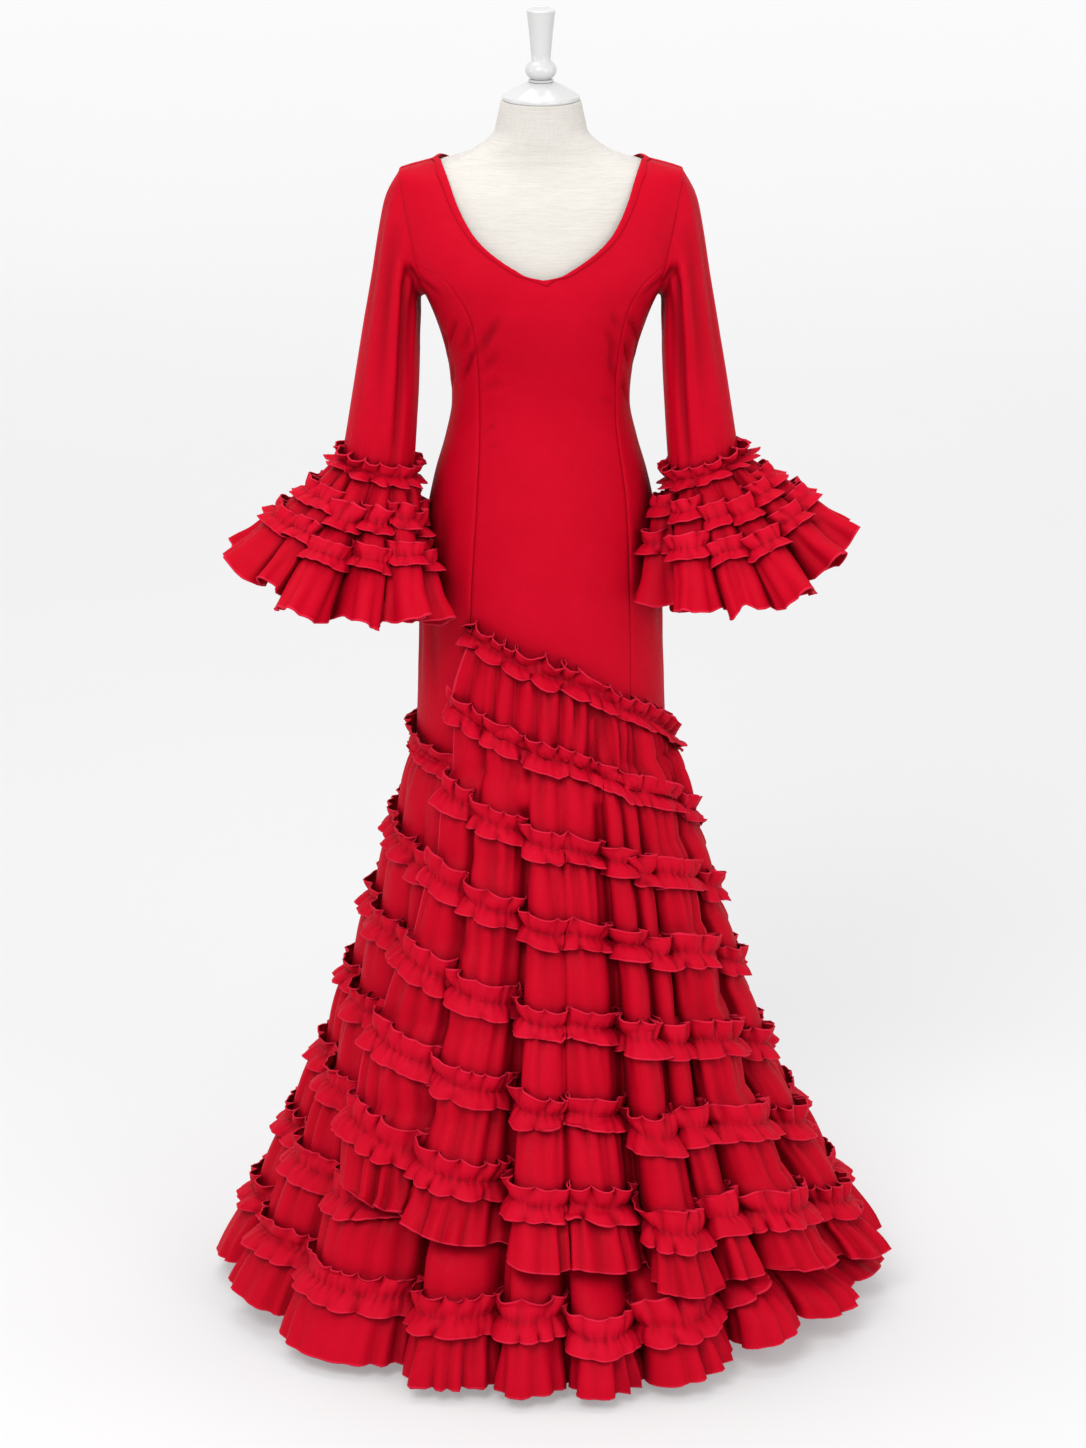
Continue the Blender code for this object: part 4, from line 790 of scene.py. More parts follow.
def neck_binding(surfaces):
    ring = []
    for back, side, reverse in ((False, 1, False), (True, 1, True), (True, -1, False), (False, -1, True)):
        line = binding_line(back, side)
        ring += line[:0:-1] if reverse else line[:-1]
    points, normals = (np.array(part).transpose(1, 0, 2) for part in zip(*ring))
    share = np.linspace(0, 1, BINDING_COLUMNS)
    crown = np.sqrt(np.clip(1 - (2 * share - 1) ** 2, 0.02, 1)) * 0.0011 + 0.0003
    crown -= 0.0005 * np.exp(-((share - 0.80) / 0.09) ** 2)
    points = points + normals * (0.0013 + crown / 2)[:, None, None]
    along, total = lengths(points[BINDING_COLUMNS // 2], True)
    ripple = 0.00012 * np.sin(waves(along, total, 0.006, 5, True))
    points = points + normals * ripple[None, :, None]
    grid_shell("cloth_neck_binding", points, share * BINDING_WIDTH, along, surfaces, True, 1,
               half=np.repeat((crown / 2 + 0.0004)[:, None], len(along), 1), normals=normals)


# ---------------------------------------------------------------- skirt surfaces
fold_depth = smooth_curve(FOLD_DEPTH)
flap_start = smooth_curve(FLAP_START)
flap_stand_off = smooth_curve(FLAP_STAND_OFF)
strip_half = smooth_curve(STRIP_HALF)
plan_front = smooth_curve(SKIRT_PLAN, 1)
plan_back = smooth_curve(SKIRT_PLAN, 2)
plan_centre = smooth_curve(SKIRT_PLAN, 3)
hem_lift = smooth_curve(HEM_LIFT)
last_row_drop = smooth_curve(LAST_ROW_DROP)
side_sag = smooth_curve(SIDE_SAG)
first_row_rise = smooth_curve(FIRST_ROW_RISE)
ROW_Z, ROW_RADIUS = np.array(SKIRT_ROWS).T
FLAP_LENGTH = ROW_Z[0] - ROW_Z[ROWS - 1] + FLAP_HEM_DROP


def skirt_radius(z):
    z = np.asarray(z, float)
    i = np.clip(np.searchsorted(-ROW_Z, -z, side="right"), 1, ROWS)
    down = np.clip((ROW_Z[i - 1] - z) / (ROW_Z[i - 1] - ROW_Z[i]), 0.0, 1.0)
    return (ROW_RADIUS[i - 1] + down * (ROW_RADIUS[i] - ROW_RADIUS[i - 1])
            + TIER_BULGE * np.sin(math.pi * down ** 0.7))


def plan_point(angle, radius, z):
    angle = np.radians(angle)
    depth = np.where(np.cos(angle) > 0, plan_front(z), plan_back(z))
    x = plan_centre(z) + radius * np.sin(angle)
    return np.stack(np.broadcast_arrays(x, -radius * depth * np.cos(angle), z), axis=-1)


def folds(place, share, starts, deep, gaps, crests=(0.0,)):
    """Angle, unit height and sideways lean (0 to 1) of the cloth; place counts folds.

    gaps gives each tube's share that lies at the bottom, before the next one rises.
    """
    i = np.clip(np.floor(place).astype(int), 0, len(deep) - 2)
    t = np.clip(place - i, 0.0, 1.0)
    first, last = starts(i, share), starts(i + 1, share)
    lowest = math.sqrt(1 - TUBE_SHARP ** TUBE_POWER)
    across = TUBE_SHARP * np.abs(2 * np.clip(t / (1 - np.array(gaps)[i]), 0.0, 1.0) ** FOLD_SKEW - 1)
    crest = (np.sqrt(1 - across ** TUBE_POWER) - lowest) / (1 - lowest)
    height = CREST_SHARE + np.array(crests)[i % len(crests)] * crest
    height = height - (deep[i] + t * (deep[i + 1] - deep[i])) * (1 - crest)
    return first + t * (last - first), height, (1 - crest) ** 1.4


UNDER_TOP = np.array([row[0] for row in UNDER_FOLDS] + [UNDER_FOLDS[0][0] + 360.0])
UNDER_HEM = np.array([row[1] for row in UNDER_FOLDS] + [UNDER_FOLDS[0][1] + 360.0])
UNDER_DEEP = np.array([row[2] for row in UNDER_FOLDS] + [UNDER_FOLDS[0][2]])
FLAP_TOP = np.array([0.0] + [row[0] for row in FLAP_FOLDS] + [FLAP_END])
FLAP_HEM = np.array([0.0] + [row[1] for row in FLAP_FOLDS] + [FLAP_END])
FLAP_DEEP = np.array([0.1] + [row[2] for row in FLAP_FOLDS] + [0.3])
TUBE_HANG = np.array(FLAP_TUBES)


def under_starts(i, share):
    return UNDER_TOP[i] + share * (UNDER_HEM[i] - UNDER_TOP[i])


def flap_starts(i, share):
    return np.where(i == 0, flap_start(share), FLAP_TOP[i] + share * (FLAP_HEM[i] - FLAP_TOP[i]))


def flap_rise(angle):
    return 0.005 + FLAP_RISE * (FLAP_END - angle) / FLAP_RISE_SPAN


def wound(angle):
    return (angle + 180.0) % 360.0 - 180.0


def tube_drop(place, share):
    """How much lower a flap row hangs on its tube; the rows step at the valleys between tubes."""
    i = np.clip(np.floor(place).astype(int), 0, len(FLAP_TUBES) - 1)
    t = place - i
    hang = [TUBE_HANG[j, 0] + (TUBE_HANG[j, 1] - TUBE_HANG[j, 0]) * ease(share, 0.0, 0.5)
            + (TUBE_HANG[j, 2] - TUBE_HANG[j, 1]) * ease(share, 0.5, 0.85)
            for j in (i, np.maximum(i - 1, 0), np.minimum(i + 1, len(FLAP_TUBES) - 1))]
    before, after = 0.5 * (1 - ease(t, 0.0, 0.16)), 0.5 * ease(t, 0.84, 1.0)
    return hang[0] * (1 - before - after) + hang[1] * before + hang[2] * after


def covered(angle, z):
    """How much of an underskirt point lies beneath the flap, 0 to 1."""
    angle = wound(angle)
    share = np.clip((ROW_Z[0] + flap_rise(angle) - z) / FLAP_LENGTH, 0.0, 1.0)
    start = flap_start(share)
    hem = ROW_Z[0] - FLAP_LENGTH + flap_rise(angle)
    across = ease(angle, start - 6, start + 10) * (1 - ease(angle, 70, 92))
    return across * ease(-z, -SHEATH_BOTTOM, -0.62) * ease(z, hem - 0.05, hem + 0.03)


def smooth_step(place, seed, count=64):
    """An irregular level for each fold, from -1 to 1, that changes at the valleys between them."""
    levels = np.random.default_rng(seed).uniform(-1, 1, count)
    i = np.round(place).astype(int)
    before, after = levels[(i - 1) % count], levels[i % count]
    return before + (after - before) * ease(place - i, -0.12, 0.12)


def row_drop(number, angle):
    """How much lower an underskirt row hangs; the rows sag a little towards the flap's edge."""
    if number == ROWS - 1:
        return last_row_drop(wound(angle))
    return side_sag(wound(angle)) if number else 0.0 * angle


def under_radius(angle, height, z):
    hidden = covered(angle, z)
    return skirt_radius(z) - UNDER_INSET * hidden + FOLD_DEEPER * fold_depth(z) * (1 - 0.85 * hidden) * height


def under_folds(place, z):
    """The underskirt's share down, then what folds gives there."""
    share = (SHEATH_BOTTOM - z) / (SHEATH_BOTTOM - HEM_Z)
    return share, *folds(place % len(UNDER_FOLDS), share, under_starts, UNDER_DEEP, UNDER_GAPS)


def under_point(place, z):
    share, angle, height, lean = under_folds(place, z)
    return plan_point(angle + UNDER_LEAN * lean * ease(share, 0.1, 0.5), under_radius(angle, height, z), z)


def under_angle(place, z):
    return under_folds(place, z)[1] + 360.0 * np.floor(place / len(UNDER_FOLDS))


def flap_point(place, share):
    angle, height, lean = folds(place, share, flap_starts, FLAP_DEEP, FLAP_GAPS, FLAP_CRESTS)
    below = share * FLAP_LENGTH
    z = ROW_Z[0] + flap_rise(angle) - below - tube_drop(place, share)
    loose = 1 - ease(angle, 76, FLAP_END)
    depth = FOLD_DEEPER * fold_depth(SHEATH_BOTTOM - below) * ease(below, -0.03, 0.08) * (0.3 + 0.7 * loose)
    off = FLAP_ON_SHEATH + (flap_stand_off(below) - FLAP_ON_SHEATH) * (0.35 + 0.65 * loose) + depth * height
    near_row = np.max(1 - ease(np.abs(z[..., None] - ROW_Z[:ROWS]), 0.030, 0.045), axis=-1)
    clear = FLAP_CLEAR + STRIP_ROOM * near_row - UNDER_INSET * covered(angle, z)
    on_sheath = z > SHEATH_BOTTOM
    off = np.maximum(off, np.where(on_sheath, FLAP_ON_SHEATH, np.maximum(clear, FLAP_DEEPEST)))
    lean = lean * np.array(FLAP_LEANS)[np.clip(np.round(place).astype(int), 0, len(FLAP_LEANS) - 1)]
    angle = angle + lean * ease(share, 0.05, 0.35)
    radial = unit(plan_point(angle, 1.0, z) - plan_point(angle, 0.0, z))
    over_sheath = sheath_point(angle, z) + sheath_normal(angle, z) * off[..., None]
    over_tiers = plan_point(angle, skirt_radius(z), z) + radial * off[..., None]
    return np.where(on_sheath[..., None], over_sheath, over_tiers)


def even_places(surface, level, first, last, step, closed, *more):
    """Places a step apart along a surface's row, with their distances and the row's length."""
    dense = np.linspace(first, last, 6000)
    at, total = lengths(surface(dense, np.full(len(dense), level), *more))
    if closed:
        along = np.linspace(0, total, max(8, round(total / (step / FINE))) + 1)[:-1]
    else:
        along = stations(total, step, True, False)
    return np.interp(along, at, dense), along, total


def tier_flutes(along, total, below, height, seed, closed, last, amount):
    """How far a tier's cloth stands out or in: flutes, and gathers that fade from its two seams."""
    s, a = along[None], below[:, None]
    cells = round(total * PATCHES) if closed else 0
    patches = s * cells / total if closed else s * PATCHES
    lean = 0.9 * drift(patches, seed + 5, cells) * a / height
    broad = tube(waves(s, total, LAST_TIER_WAVE if last else TIER_WAVE, seed, closed, 0.6) + 1.4 * lean)
    fine = tube(waves(s, total, GATHER_WAVE, seed + 1, closed, 0.7) + 2.5 * lean)
    low = tube(waves(s, total, LOW_GATHER_WAVE, seed + 2, closed, 0.7) - 2 * lean)
    patch = np.clip(0.62 + 0.75 * drift(patches, seed + 3, cells), 0.1, 1.4)
    out = FLUTE_SWING * (broad - 0.2) * ease(a, 0.0, 0.035) * patch
    pleated = ease(a, 0.0, 0.010) * np.exp(-a / (0.026 + 0.050 * patch))
    out = out + FLUTE_SWING * (fine - 0.4) * pleated * (0.5 + patch)
    # painted shade in the bottoms of the gathers and flutes, as a mask for the surface
    crease = 0.75 * valley(fine) * pleated * np.clip(0.4 + patch, 0, 1.1)
    crease = crease + (0.8 if last else 0.45) * valley(broad) * ease(a, 0.0, 0.035) * np.clip(patch, 0, 1)
    if last:
        out = out * (1 + 1.7 * ease(a, 0.15 * height, height)) + 0.004 * ease(a, 0.3 * height, height)
    else:
        above = height - a
        out = out * (1 - 0.55 * ease(a, height - 0.03, height))
        out = out + (LOW_GATHER_SWING * (low - 0.4) * np.exp(-above / 0.020) * ease(above, 0, 0.010)
                     * (1.4 - patch))
    gather = np.clip(np.exp(-a / 0.016) + (0 if last else 1) * np.exp(-(height - a) / 0.012), 0, 1)
    return out * amount, gather + 0 * s, np.clip(crease * amount, 0, 1)


def underskirt_tier(row, surfaces):
    last = row + 1 == ROWS
    top, low = ROW_Z[row] - SEAM_GAP / 2, ROW_Z[row + 1] + (0 if last else SEAM_GAP / 2)
    height = math.hypot(top - low, ROW_RADIUS[row + 1] - ROW_RADIUS[row])
    middle = (top + low) / 2
    place, along, total = even_places(under_point, middle, 0.0, len(UNDER_FOLDS), TIER_GRID[0], True)
    below = stations(height, TIER_GRID[1], False, last)
    share = (below / height)[:, None]
    turned = under_angle(place, HEM_Z)
    bottom = low + (hem_lift(wound(turned)) if last else -row_drop(row + 1, turned))
    start = top - row_drop(row, turned)
    z = start + share * (bottom - start)
    points = under_point(place[None], z)
    angle = under_angle(place, middle)[None]
    hidden = covered(angle, z)
    amount = 1 - 0.75 * hidden
    out, gather, crease = tier_flutes(along, total, below, height, 100 + 10 * row, True, last, amount)
    normals = grid_normals(points, True)
    points = points + smooth_along(normals, EVENED_OVER, True) * out[..., None]
    piece = grid_shell(f"cloth_underskirt_tier_{row + 1}", points, below, along, surfaces, True, 1,
                       "b" if last else "", gather, crease)


def ruffle(name, base, above, below, along, total, closed, seed, press=1.0, length=RUFFLE_WAVE,
           swing=RUFFLE_SWING, curl=RUFFLE_CURL, flare=RUFFLE_FLARE, wander=0.15, least=0.25, trim=STRIP_TRIM,
           facing=1, fit=None, surfaces=(), rest=""):
    """A double-edged ruffle gathered along its middle.

    base(offset) gives the cloth beneath at a distance below (or, if negative, above) the middle
    line.  above and below are the two free widths.
    """
    upper = stations(above, STRIP_ACROSS, True, False)
    lower = stations(below, STRIP_ACROSS, False, True)
    down = np.concatenate([upper, above + lower[1:]])
    offset = down - above
    share = np.where(offset < 0, offset / above, offset / below)[:, None]
    press = press(offset[:, None]) if callable(press) else press
    far = np.abs(share)
    s = along[None]

    def cells(size):
        return round(total / size) if closed else 0

    phase = waves(s, total, length, seed, closed, 0.55)
    turn = drift(s / ROLL_LENGTH, seed + 1, cells(ROLL_LENGTH))
    edge_phase = phase + (2.6 * turn + 0.9) * share
    lower_phase = waves(s, total, 1.3 * length, seed + 9, closed, 0.6) + 2.2 * turn * share
    edge_phase = np.where(share > 0, lower_phase, edge_phase)
    size = np.clip(0.80 + 0.62 * drift(s / SIZE_LENGTH, seed + 2, cells(SIZE_LENGTH)), least, 1.4)
    wave = tube(edge_phase)
    second = np.sin(waves(s, total, length * 0.47, seed + 3, closed) + 1.3 * share)
    cup = 1 - (1 - far) ** 2.3
    out = STRIP_OFF + flare * cup * (0.35 + 0.65 * press)
    out = out + press * swing * size * far ** 0.9 * (wave - 0.25)
    out = out + press * 0.26 * swing * far ** 1.4 * second
    shirr = tube(waves(s, total, SHIRR_WAVE, seed + 4, closed))
    puckered = ease(far, 0.0, 0.10) * np.exp(-far / 0.36)
    out = out + press * SHIRR_SWING * (shirr - 0.3) * puckered
    out = np.maximum(out, LIE_ON * 0.75)
    side = -press * curl * size * far ** 1.2 * np.sin(edge_phase)
    side = side + press * RUFFLE_ROLL * turn * far ** 1.5 * np.sign(share)
    if not closed:
        side = side * ease(s, -0.006, 0.010) * ease(total - s, -0.006, 0.010)
        out = out * (0.35 + 0.65 * ease(total - s, 0.0, 0.014))
    swung = wander * np.where(share > 0, 0.7, -1.0) * (wave - 0.3) * size
    reach = 1 + press * (swung + 0.06 * drift(s / REACH_LENGTH, seed + 6, cells(REACH_LENGTH)))
    cloth = base(offset[:, None] * (reach * trim))
    step = along[1] - along[0] if closed else np.median(np.diff(along))
    normals = unit(smooth_along(grid_normals(cloth, closed, facing), RUFFLE_EVENED / step, closed))
    if closed:
        ahead = np.roll(cloth, -1, axis=1) - np.roll(cloth, 1, axis=1)
    else:
        ahead = np.gradient(cloth, axis=1)
    ahead = unit(smooth_along(unit(ahead), 5, closed))
    points = cloth + normals * out[..., None] + ahead * side[..., None]
    if fit is not None:
        points = fit(points)
    gather = np.exp(-far / 0.22) + 0 * s
    # painted shade in the bottoms of the ruffle's waves and of its shirring puckers
    crease = 0.75 * valley(wave) * size * far ** 0.6 + 1.2 * valley(shirr) * np.exp(-far / 0.30)
    piece = grid_shell(name, points, down, along, surfaces, closed, facing, "tb" if closed else "tblr",
                       gather, np.clip(crease * press, 0, 1))
    return piece


def underskirt_ruffle(row, surfaces):
    z = ROW_Z[row]
    flap_share = (ROW_Z[0] - z + FLAP_RISE) / FLAP_LENGTH
    end = STRIP_LAST_ENDS.get(row, float(flap_start(min(flap_share, 1.0))) + STRIP_PAST_FLAP)
    count = len(UNDER_FOLDS)
    dense = np.linspace(-count, count, 20000)
    angles = under_angle(dense, z)
    first, last = np.interp([FLAP_END - 360.0 + STRIP_SEAM_GAP, end], angles, dense)
    place, along, total = even_places(under_point, z, first, last, UNDER_STRIP_ALONG, False)
    angle = under_angle(place, z)
    hidden = wound(angle)
    under = np.clip((ROW_Z[0] + flap_rise(hidden) - z) / FLAP_LENGTH, 0.0, 1.0)
    hem = ROW_Z[0] - FLAP_LENGTH + flap_rise(hidden)
    start = flap_start(under)
    level = z - (row_drop(row, hidden) if row else -first_row_rise(hidden))
    level = level + UNEVEN_ROWS * smooth_step(place, 40 + row)
    covers = ease(hidden, start - 8, start - 1) * (1 - ease(hidden, 88, 92))
    half = float(strip_half(z))

    def press(offset):
        beneath = ease(level[None] - STRIP_SLANT * offset - hem[None], -0.012, 0.004)
        return 1 - (1 - STRIP_PRESSED) * covers[None] * beneath

    def base(offset):
        height = level - STRIP_SLANT * offset
        points = under_point(place[None], np.minimum(height, SHEATH_BOTTOM))
        over = sheath_point(angle[None], np.maximum(height, SHEATH_BOTTOM))
        over = over + sheath_normal(angle[None], np.maximum(height, SHEATH_BOTTOM)) * 0.001
        return np.where((height > SHEATH_BOTTOM)[..., None], over, points)

    ruffle(f"cloth_underskirt_ruffle_{row + 1}", base, half, half, along, total, False, 300 + 20 * row,
           press=press, surfaces=surfaces, rest=f"cloth_underskirt_tier_{row + 1}")


def flap_drop(row):
    return ROW_Z[0] - ROW_Z[row] if row < ROWS else FLAP_LENGTH


def flap_tier(row, surfaces):
    last = row + 1 == ROWS
    top = flap_drop(row) + SEAM_GAP / 2
    low = FLAP_LENGTH if last else flap_drop(row + 1) - SEAM_GAP / 2
    slope = (ROW_RADIUS[row + 1] - ROW_RADIUS[row]) / (ROW_Z[row] - ROW_Z[row + 1])
    height = (low - top) * math.hypot(1.0, slope)
    middle = (top + low) / 2 / FLAP_LENGTH
    end = len(FLAP_DEEP) - 1.0
    place, along, total = even_places(flap_point, middle, 0.0, end, FLAP_GRID[0], False)
    below = stations(height, FLAP_GRID[1], False, last)
    share = (top + (below / height)[:, None] * (low - top)) / FLAP_LENGTH
    points = flap_point(*on_grid(place, share))
    loose = ease(total - along, 0.0, 0.06)[None]
    out, gather, crease = tier_flutes(along, total, below, height, 500 + 10 * row, False, last, loose)
    if row == 0:
        rib = tube(waves(along[None], total, RIB_WAVE, 571, False, 0.8) + 2.0 * below[:, None] / height)
        out = out + loose * RIB_SWING * (rib + 0.3) * ease(below[:, None], 0.002, 0.030)
        # the ribs' bottoms take painted shade as well
        crease = np.clip(crease + 0.8 * loose * valley(rib) * ease(below[:, None], 0.002, 0.02), 0, 1)
    out = np.maximum(out, FLAP_IN)
    normals = grid_normals(points, False)
    points = points + smooth_along(normals, EVENED_OVER, False) * out[..., None]
    piece = grid_shell(f"cloth_flap_tier_{row + 1}", points, below, along, surfaces, False, 1,
                       "lb" if last else "l", gather, crease)


def flap_ruffle(row, surfaces):
    drop = flap_drop(row)
    end = len(FLAP_DEEP) - 1.04
    place, along, total = even_places(flap_point, drop / FLAP_LENGTH, 0.0, end, FLAP_STRIP_ALONG, False)
    overhang = FLAP_OVERHANG[0] + FLAP_OVERHANG[1] * math.sin(2.3 * row)
    extra = stations(overhang, FLAP_STRIP_ALONG, True, False)[:-1]
    along = np.concatenate([extra, overhang + along[np.where(along > 0.001)[0][0] - 1:]])
    start = len(extra)
    place = np.concatenate([np.zeros(start), place[len(place) - (len(along) - start):]])
    total = total + overhang
    half = float(strip_half(ROW_Z[row]))

    def base(offset):
        points = flap_point(*on_grid(place, (drop + STRIP_SLANT * offset) / FLAP_LENGTH))
        ahead = unit(points[:, start + 3] - points[:, start])
        ahead = unit(ahead + np.array([-0.12, -0.30, 0.0]))
        back = (overhang - along[:start])[None, :, None]
        points[:, :start] = points[:, start:start + 1] - ahead[:, None] * back
        return points

    look = FLAP_RUFFLE if row else FIRST_FLAP_RUFFLE
    ruffle(f"cloth_flap_ruffle_{row + 1}", base, half, half, along, total, False, 700 + 20 * row,
           surfaces=surfaces, rest=f"cloth_flap_tier_{row + 1}", **look)


# ---------------------------------------------------------------- sleeves and cuffs
cuff_radius = smooth_curve(CUFF_ROWS)
cuff_fold_depth = smooth_curve(CUFF_FOLD_DEPTH)
CUFF_END = CUFF_ROWS[-1][0]
CUFF_FRONT = np.array([0.0, -1.0, 0.0])
CUFF_STARTS = np.array(CUFF_FOLDS + (CUFF_FOLDS[0] + 360,), float)
CUFF_DEEP = np.array([1.0, 0.8, 1.0, 0.9, 0.7, 0.8, 0.9, 1.0])
CUFF_GAPS = (0.05,) * 7
CUFF_DEEPER = 1.60                  # the shown cloth falls in this much deeper than the plain solid
CUFF_TUBES = 12                     # smaller tubes between and on those folds
CUFF_TUBE_DEPTH = 0.0290            # at the hem
CUFF_TUBE_PINCH = 0.135             # draws the valleys between them narrow; .16 would close them
CUFF_STEP = 0.021                   # from tube to tube the strips sit this much higher or lower
CUFF_TUBE_RISE = 0.80               # how much of that a tube's mouth rises
CUFF_TRIM = 0.66                    # width of the strips as a share of the solids'


def cuff_axes(side):
    lean, tilt, width = CUFFS[side]
    down = unit(np.array([math.tan(math.radians(lean)), -math.tan(math.radians(CUFF_LEAN_FORWARD)), -1.0]))
    return down, np.array([math.cos(math.radians(tilt)), 0.0, math.sin(math.radians(tilt))]), width


def cuff_starts(i, share):
    return CUFF_STARTS[i] + 0.0 * share


def clear_of_body(points, gap):
    z = points[..., 2]
    depth = np.where(points[..., 1] < 0, depth_front(z), depth_back(z)) + gap
    inside = np.hypot(points[..., 0] / (half_width(z) + gap), points[..., 1] / depth)
    scale = np.where(inside < 1.0, 1.0 / inside, 1.0)
    return points * np.stack([scale, scale, 1.0 + 0.0 * scale], axis=-1)


def cuff_point(place, along, side):
    down, out, width = cuff_axes(side)
    angle, height = folds(place % len(CUFF_FOLDS), along, cuff_starts, CUFF_DEEP, CUFF_GAPS)[:2]
    turn = np.radians(angle)
    behind = ease(np.cos(turn - math.radians(CUFF_BACK_AT)), -0.2, 1.0)
    radius = (cuff_radius(along) * (1 + (width - 1) * along / CUFF_END)
              + CUFF_DEEPER * cuff_fold_depth(along) * height)
    round_cuff = np.asarray(place) % len(CUFF_FOLDS) / len(CUFF_FOLDS)
    phase = 2 * math.pi * CUFF_TUBES * round_cuff + 2.4 * drift(round_cuff * 11, 87 + side, 11)
    second = 0.4 * tube(phase) - 0.6 * np.cos(phase)
    turn = turn - (CUFF_TUBE_PINCH * np.sin(phase) * 2 * math.pi / CUFF_TUBES * ease(along, 0.0, 0.050)
                   * (1 - 0.45 * ease(along, 0.10, CUFF_END)))
    deep = 0.85 + 0.45 * drift(round_cuff * CUFF_TUBES, 93 + side, CUFF_TUBES)
    bulge = CUFF_TUBE_DEPTH * (along / CUFF_END) ** 0.45 * (second - 0.3) * deep
    bulge = bulge * (1 + 0.35 * ease(along, CUFF_END - 0.035, CUFF_END))
    radius = radius + bulge
    drop = along + CUFF_BACK_DROP * behind * ease(along, 0.03, CUFF_END)
    drop = drop - CUFF_TUBE_RISE * np.maximum(bulge, 0.25 * bulge) * ease(along, 0.02, CUFF_END)
    stepped = smooth_step(phase / (2 * math.pi), 70 + side, CUFF_TUBES)
    drop = drop + CUFF_STEP * stepped * ease(along, 0.010, 0.050)
    points = (np.array(CUFF_TOP) + drop[..., None] * down + (radius * np.cos(turn))[..., None] * out
              + (radius * (1 + (CUFF_DEPTH - 1) * along / CUFF_END) * np.sin(turn))[..., None] * CUFF_FRONT)
    return clear_of_body(points, CUFF_FROM_BODY)


def sleeve_rings(side, turn):
    rings = []
    for outer_x, outer_z, inner_x, inner_z, half_depth, y in SLEEVE_RINGS:
        outer, inner = np.array([outer_x, y, outer_z]), np.array([inner_x, y, inner_z])
        rings.append((outer + inner) / 2 + np.cos(turn)[:, None] * (outer - inner) / 2
                     + np.sin(turn)[:, None] * half_depth * CUFF_FRONT)
    down, sideways = cuff_axes(side)[:2]
    end = np.array(CUFF_TOP) - down * SEAM_GAP / 2
    turned = np.cos(turn)[:, None] * sideways + np.sin(turn)[:, None] * CUFF_FRONT
    return rings + [end + cuff_radius(0.0) * turned]


def armhole_ring(turn):
    middle_z = (SHOULDER[1] + UNDERARM[1]) / 2
    ring = []
    for z, ahead in zip(middle_z + np.cos(turn) * (SHOULDER[1] - UNDERARM[1]) / 2, np.sin(turn)):
        y = sheath_point(armhole_angle(z, ahead < 0), z)[1] if abs(ahead) > 1e-6 else 0.0
        ring.append((armhole_x(z) - ARMHOLE_TUCK, 0.985 * y, z))
    return np.array(ring)


def lofted(rings, at):
    """Rings between rings, on smooth curves; at counts them."""
    rings = np.array(rings)
    slope = np.gradient(rings, axis=0)
    i = np.clip(np.floor(at).astype(int), 0, len(rings) - 2)
    return hermite((at - i)[:, None, None], rings[i], rings[i + 1], slope[i], slope[i + 1])


def sleeve(side, surfaces):
    turn = np.arange(SLEEVE_COLUMNS) * 2 * math.pi / SLEEVE_COLUMNS
    rings = [armhole_ring(turn)] + sleeve_rings(side, turn)
    at = np.concatenate([[0, 0.02, 0.045, 0.08, 0.13], np.linspace(0.2, len(rings) - 1, round(66 * FINE))])
    points = lofted(rings, at)
    normals = grid_normals(points, True, -1)

    def place(turned, down):
        line = lofted([armhole_ring(np.radians(turned))] + sleeve_rings(side, np.radians(turned)),
                      np.asarray(down) * (len(rings) - 1))
        return line[np.arange(len(down)), np.arange(len(down))]

    dip = crease_depth(points, SLEEVE_CREASES, place)
    dip += 0.0012 * np.exp(-(at / 0.05) ** 2)[:, None]
    down = np.concatenate([[0.0], np.cumsum(np.linalg.norm(np.diff(points, axis=0), axis=-1).mean(axis=1))])
    along, total = lengths(points[len(points) // 2], True)
    soft = 0.0008 * drift2(turn[None] * 3 + 30 * (side + 2), down[:, None] * 14, 21 + side)
    above = (down[-1] - down)[:, None]
    gathers = tube(waves(along, total, SLEEVE_GATHER_WAVE, 61 + side, True))
    pulled = SLEEVE_GATHER_SWING * gathers[None] * np.exp(-above / 0.030)
    points = points + normals * (soft + pulled - dip)[..., None]
    gather = np.exp(-above / 0.02) + 0 * along[None]
    # the creases' depth, and the dip beside the armhole, also paint shade on the sleeve
    piece = grid_shell(f"cloth_sleeve_{side_name(side)}", mirror(points, side), down, along, surfaces, True,
                       -side, "", gather, np.clip(dip / CREASE_DARKEST, 0, 1))


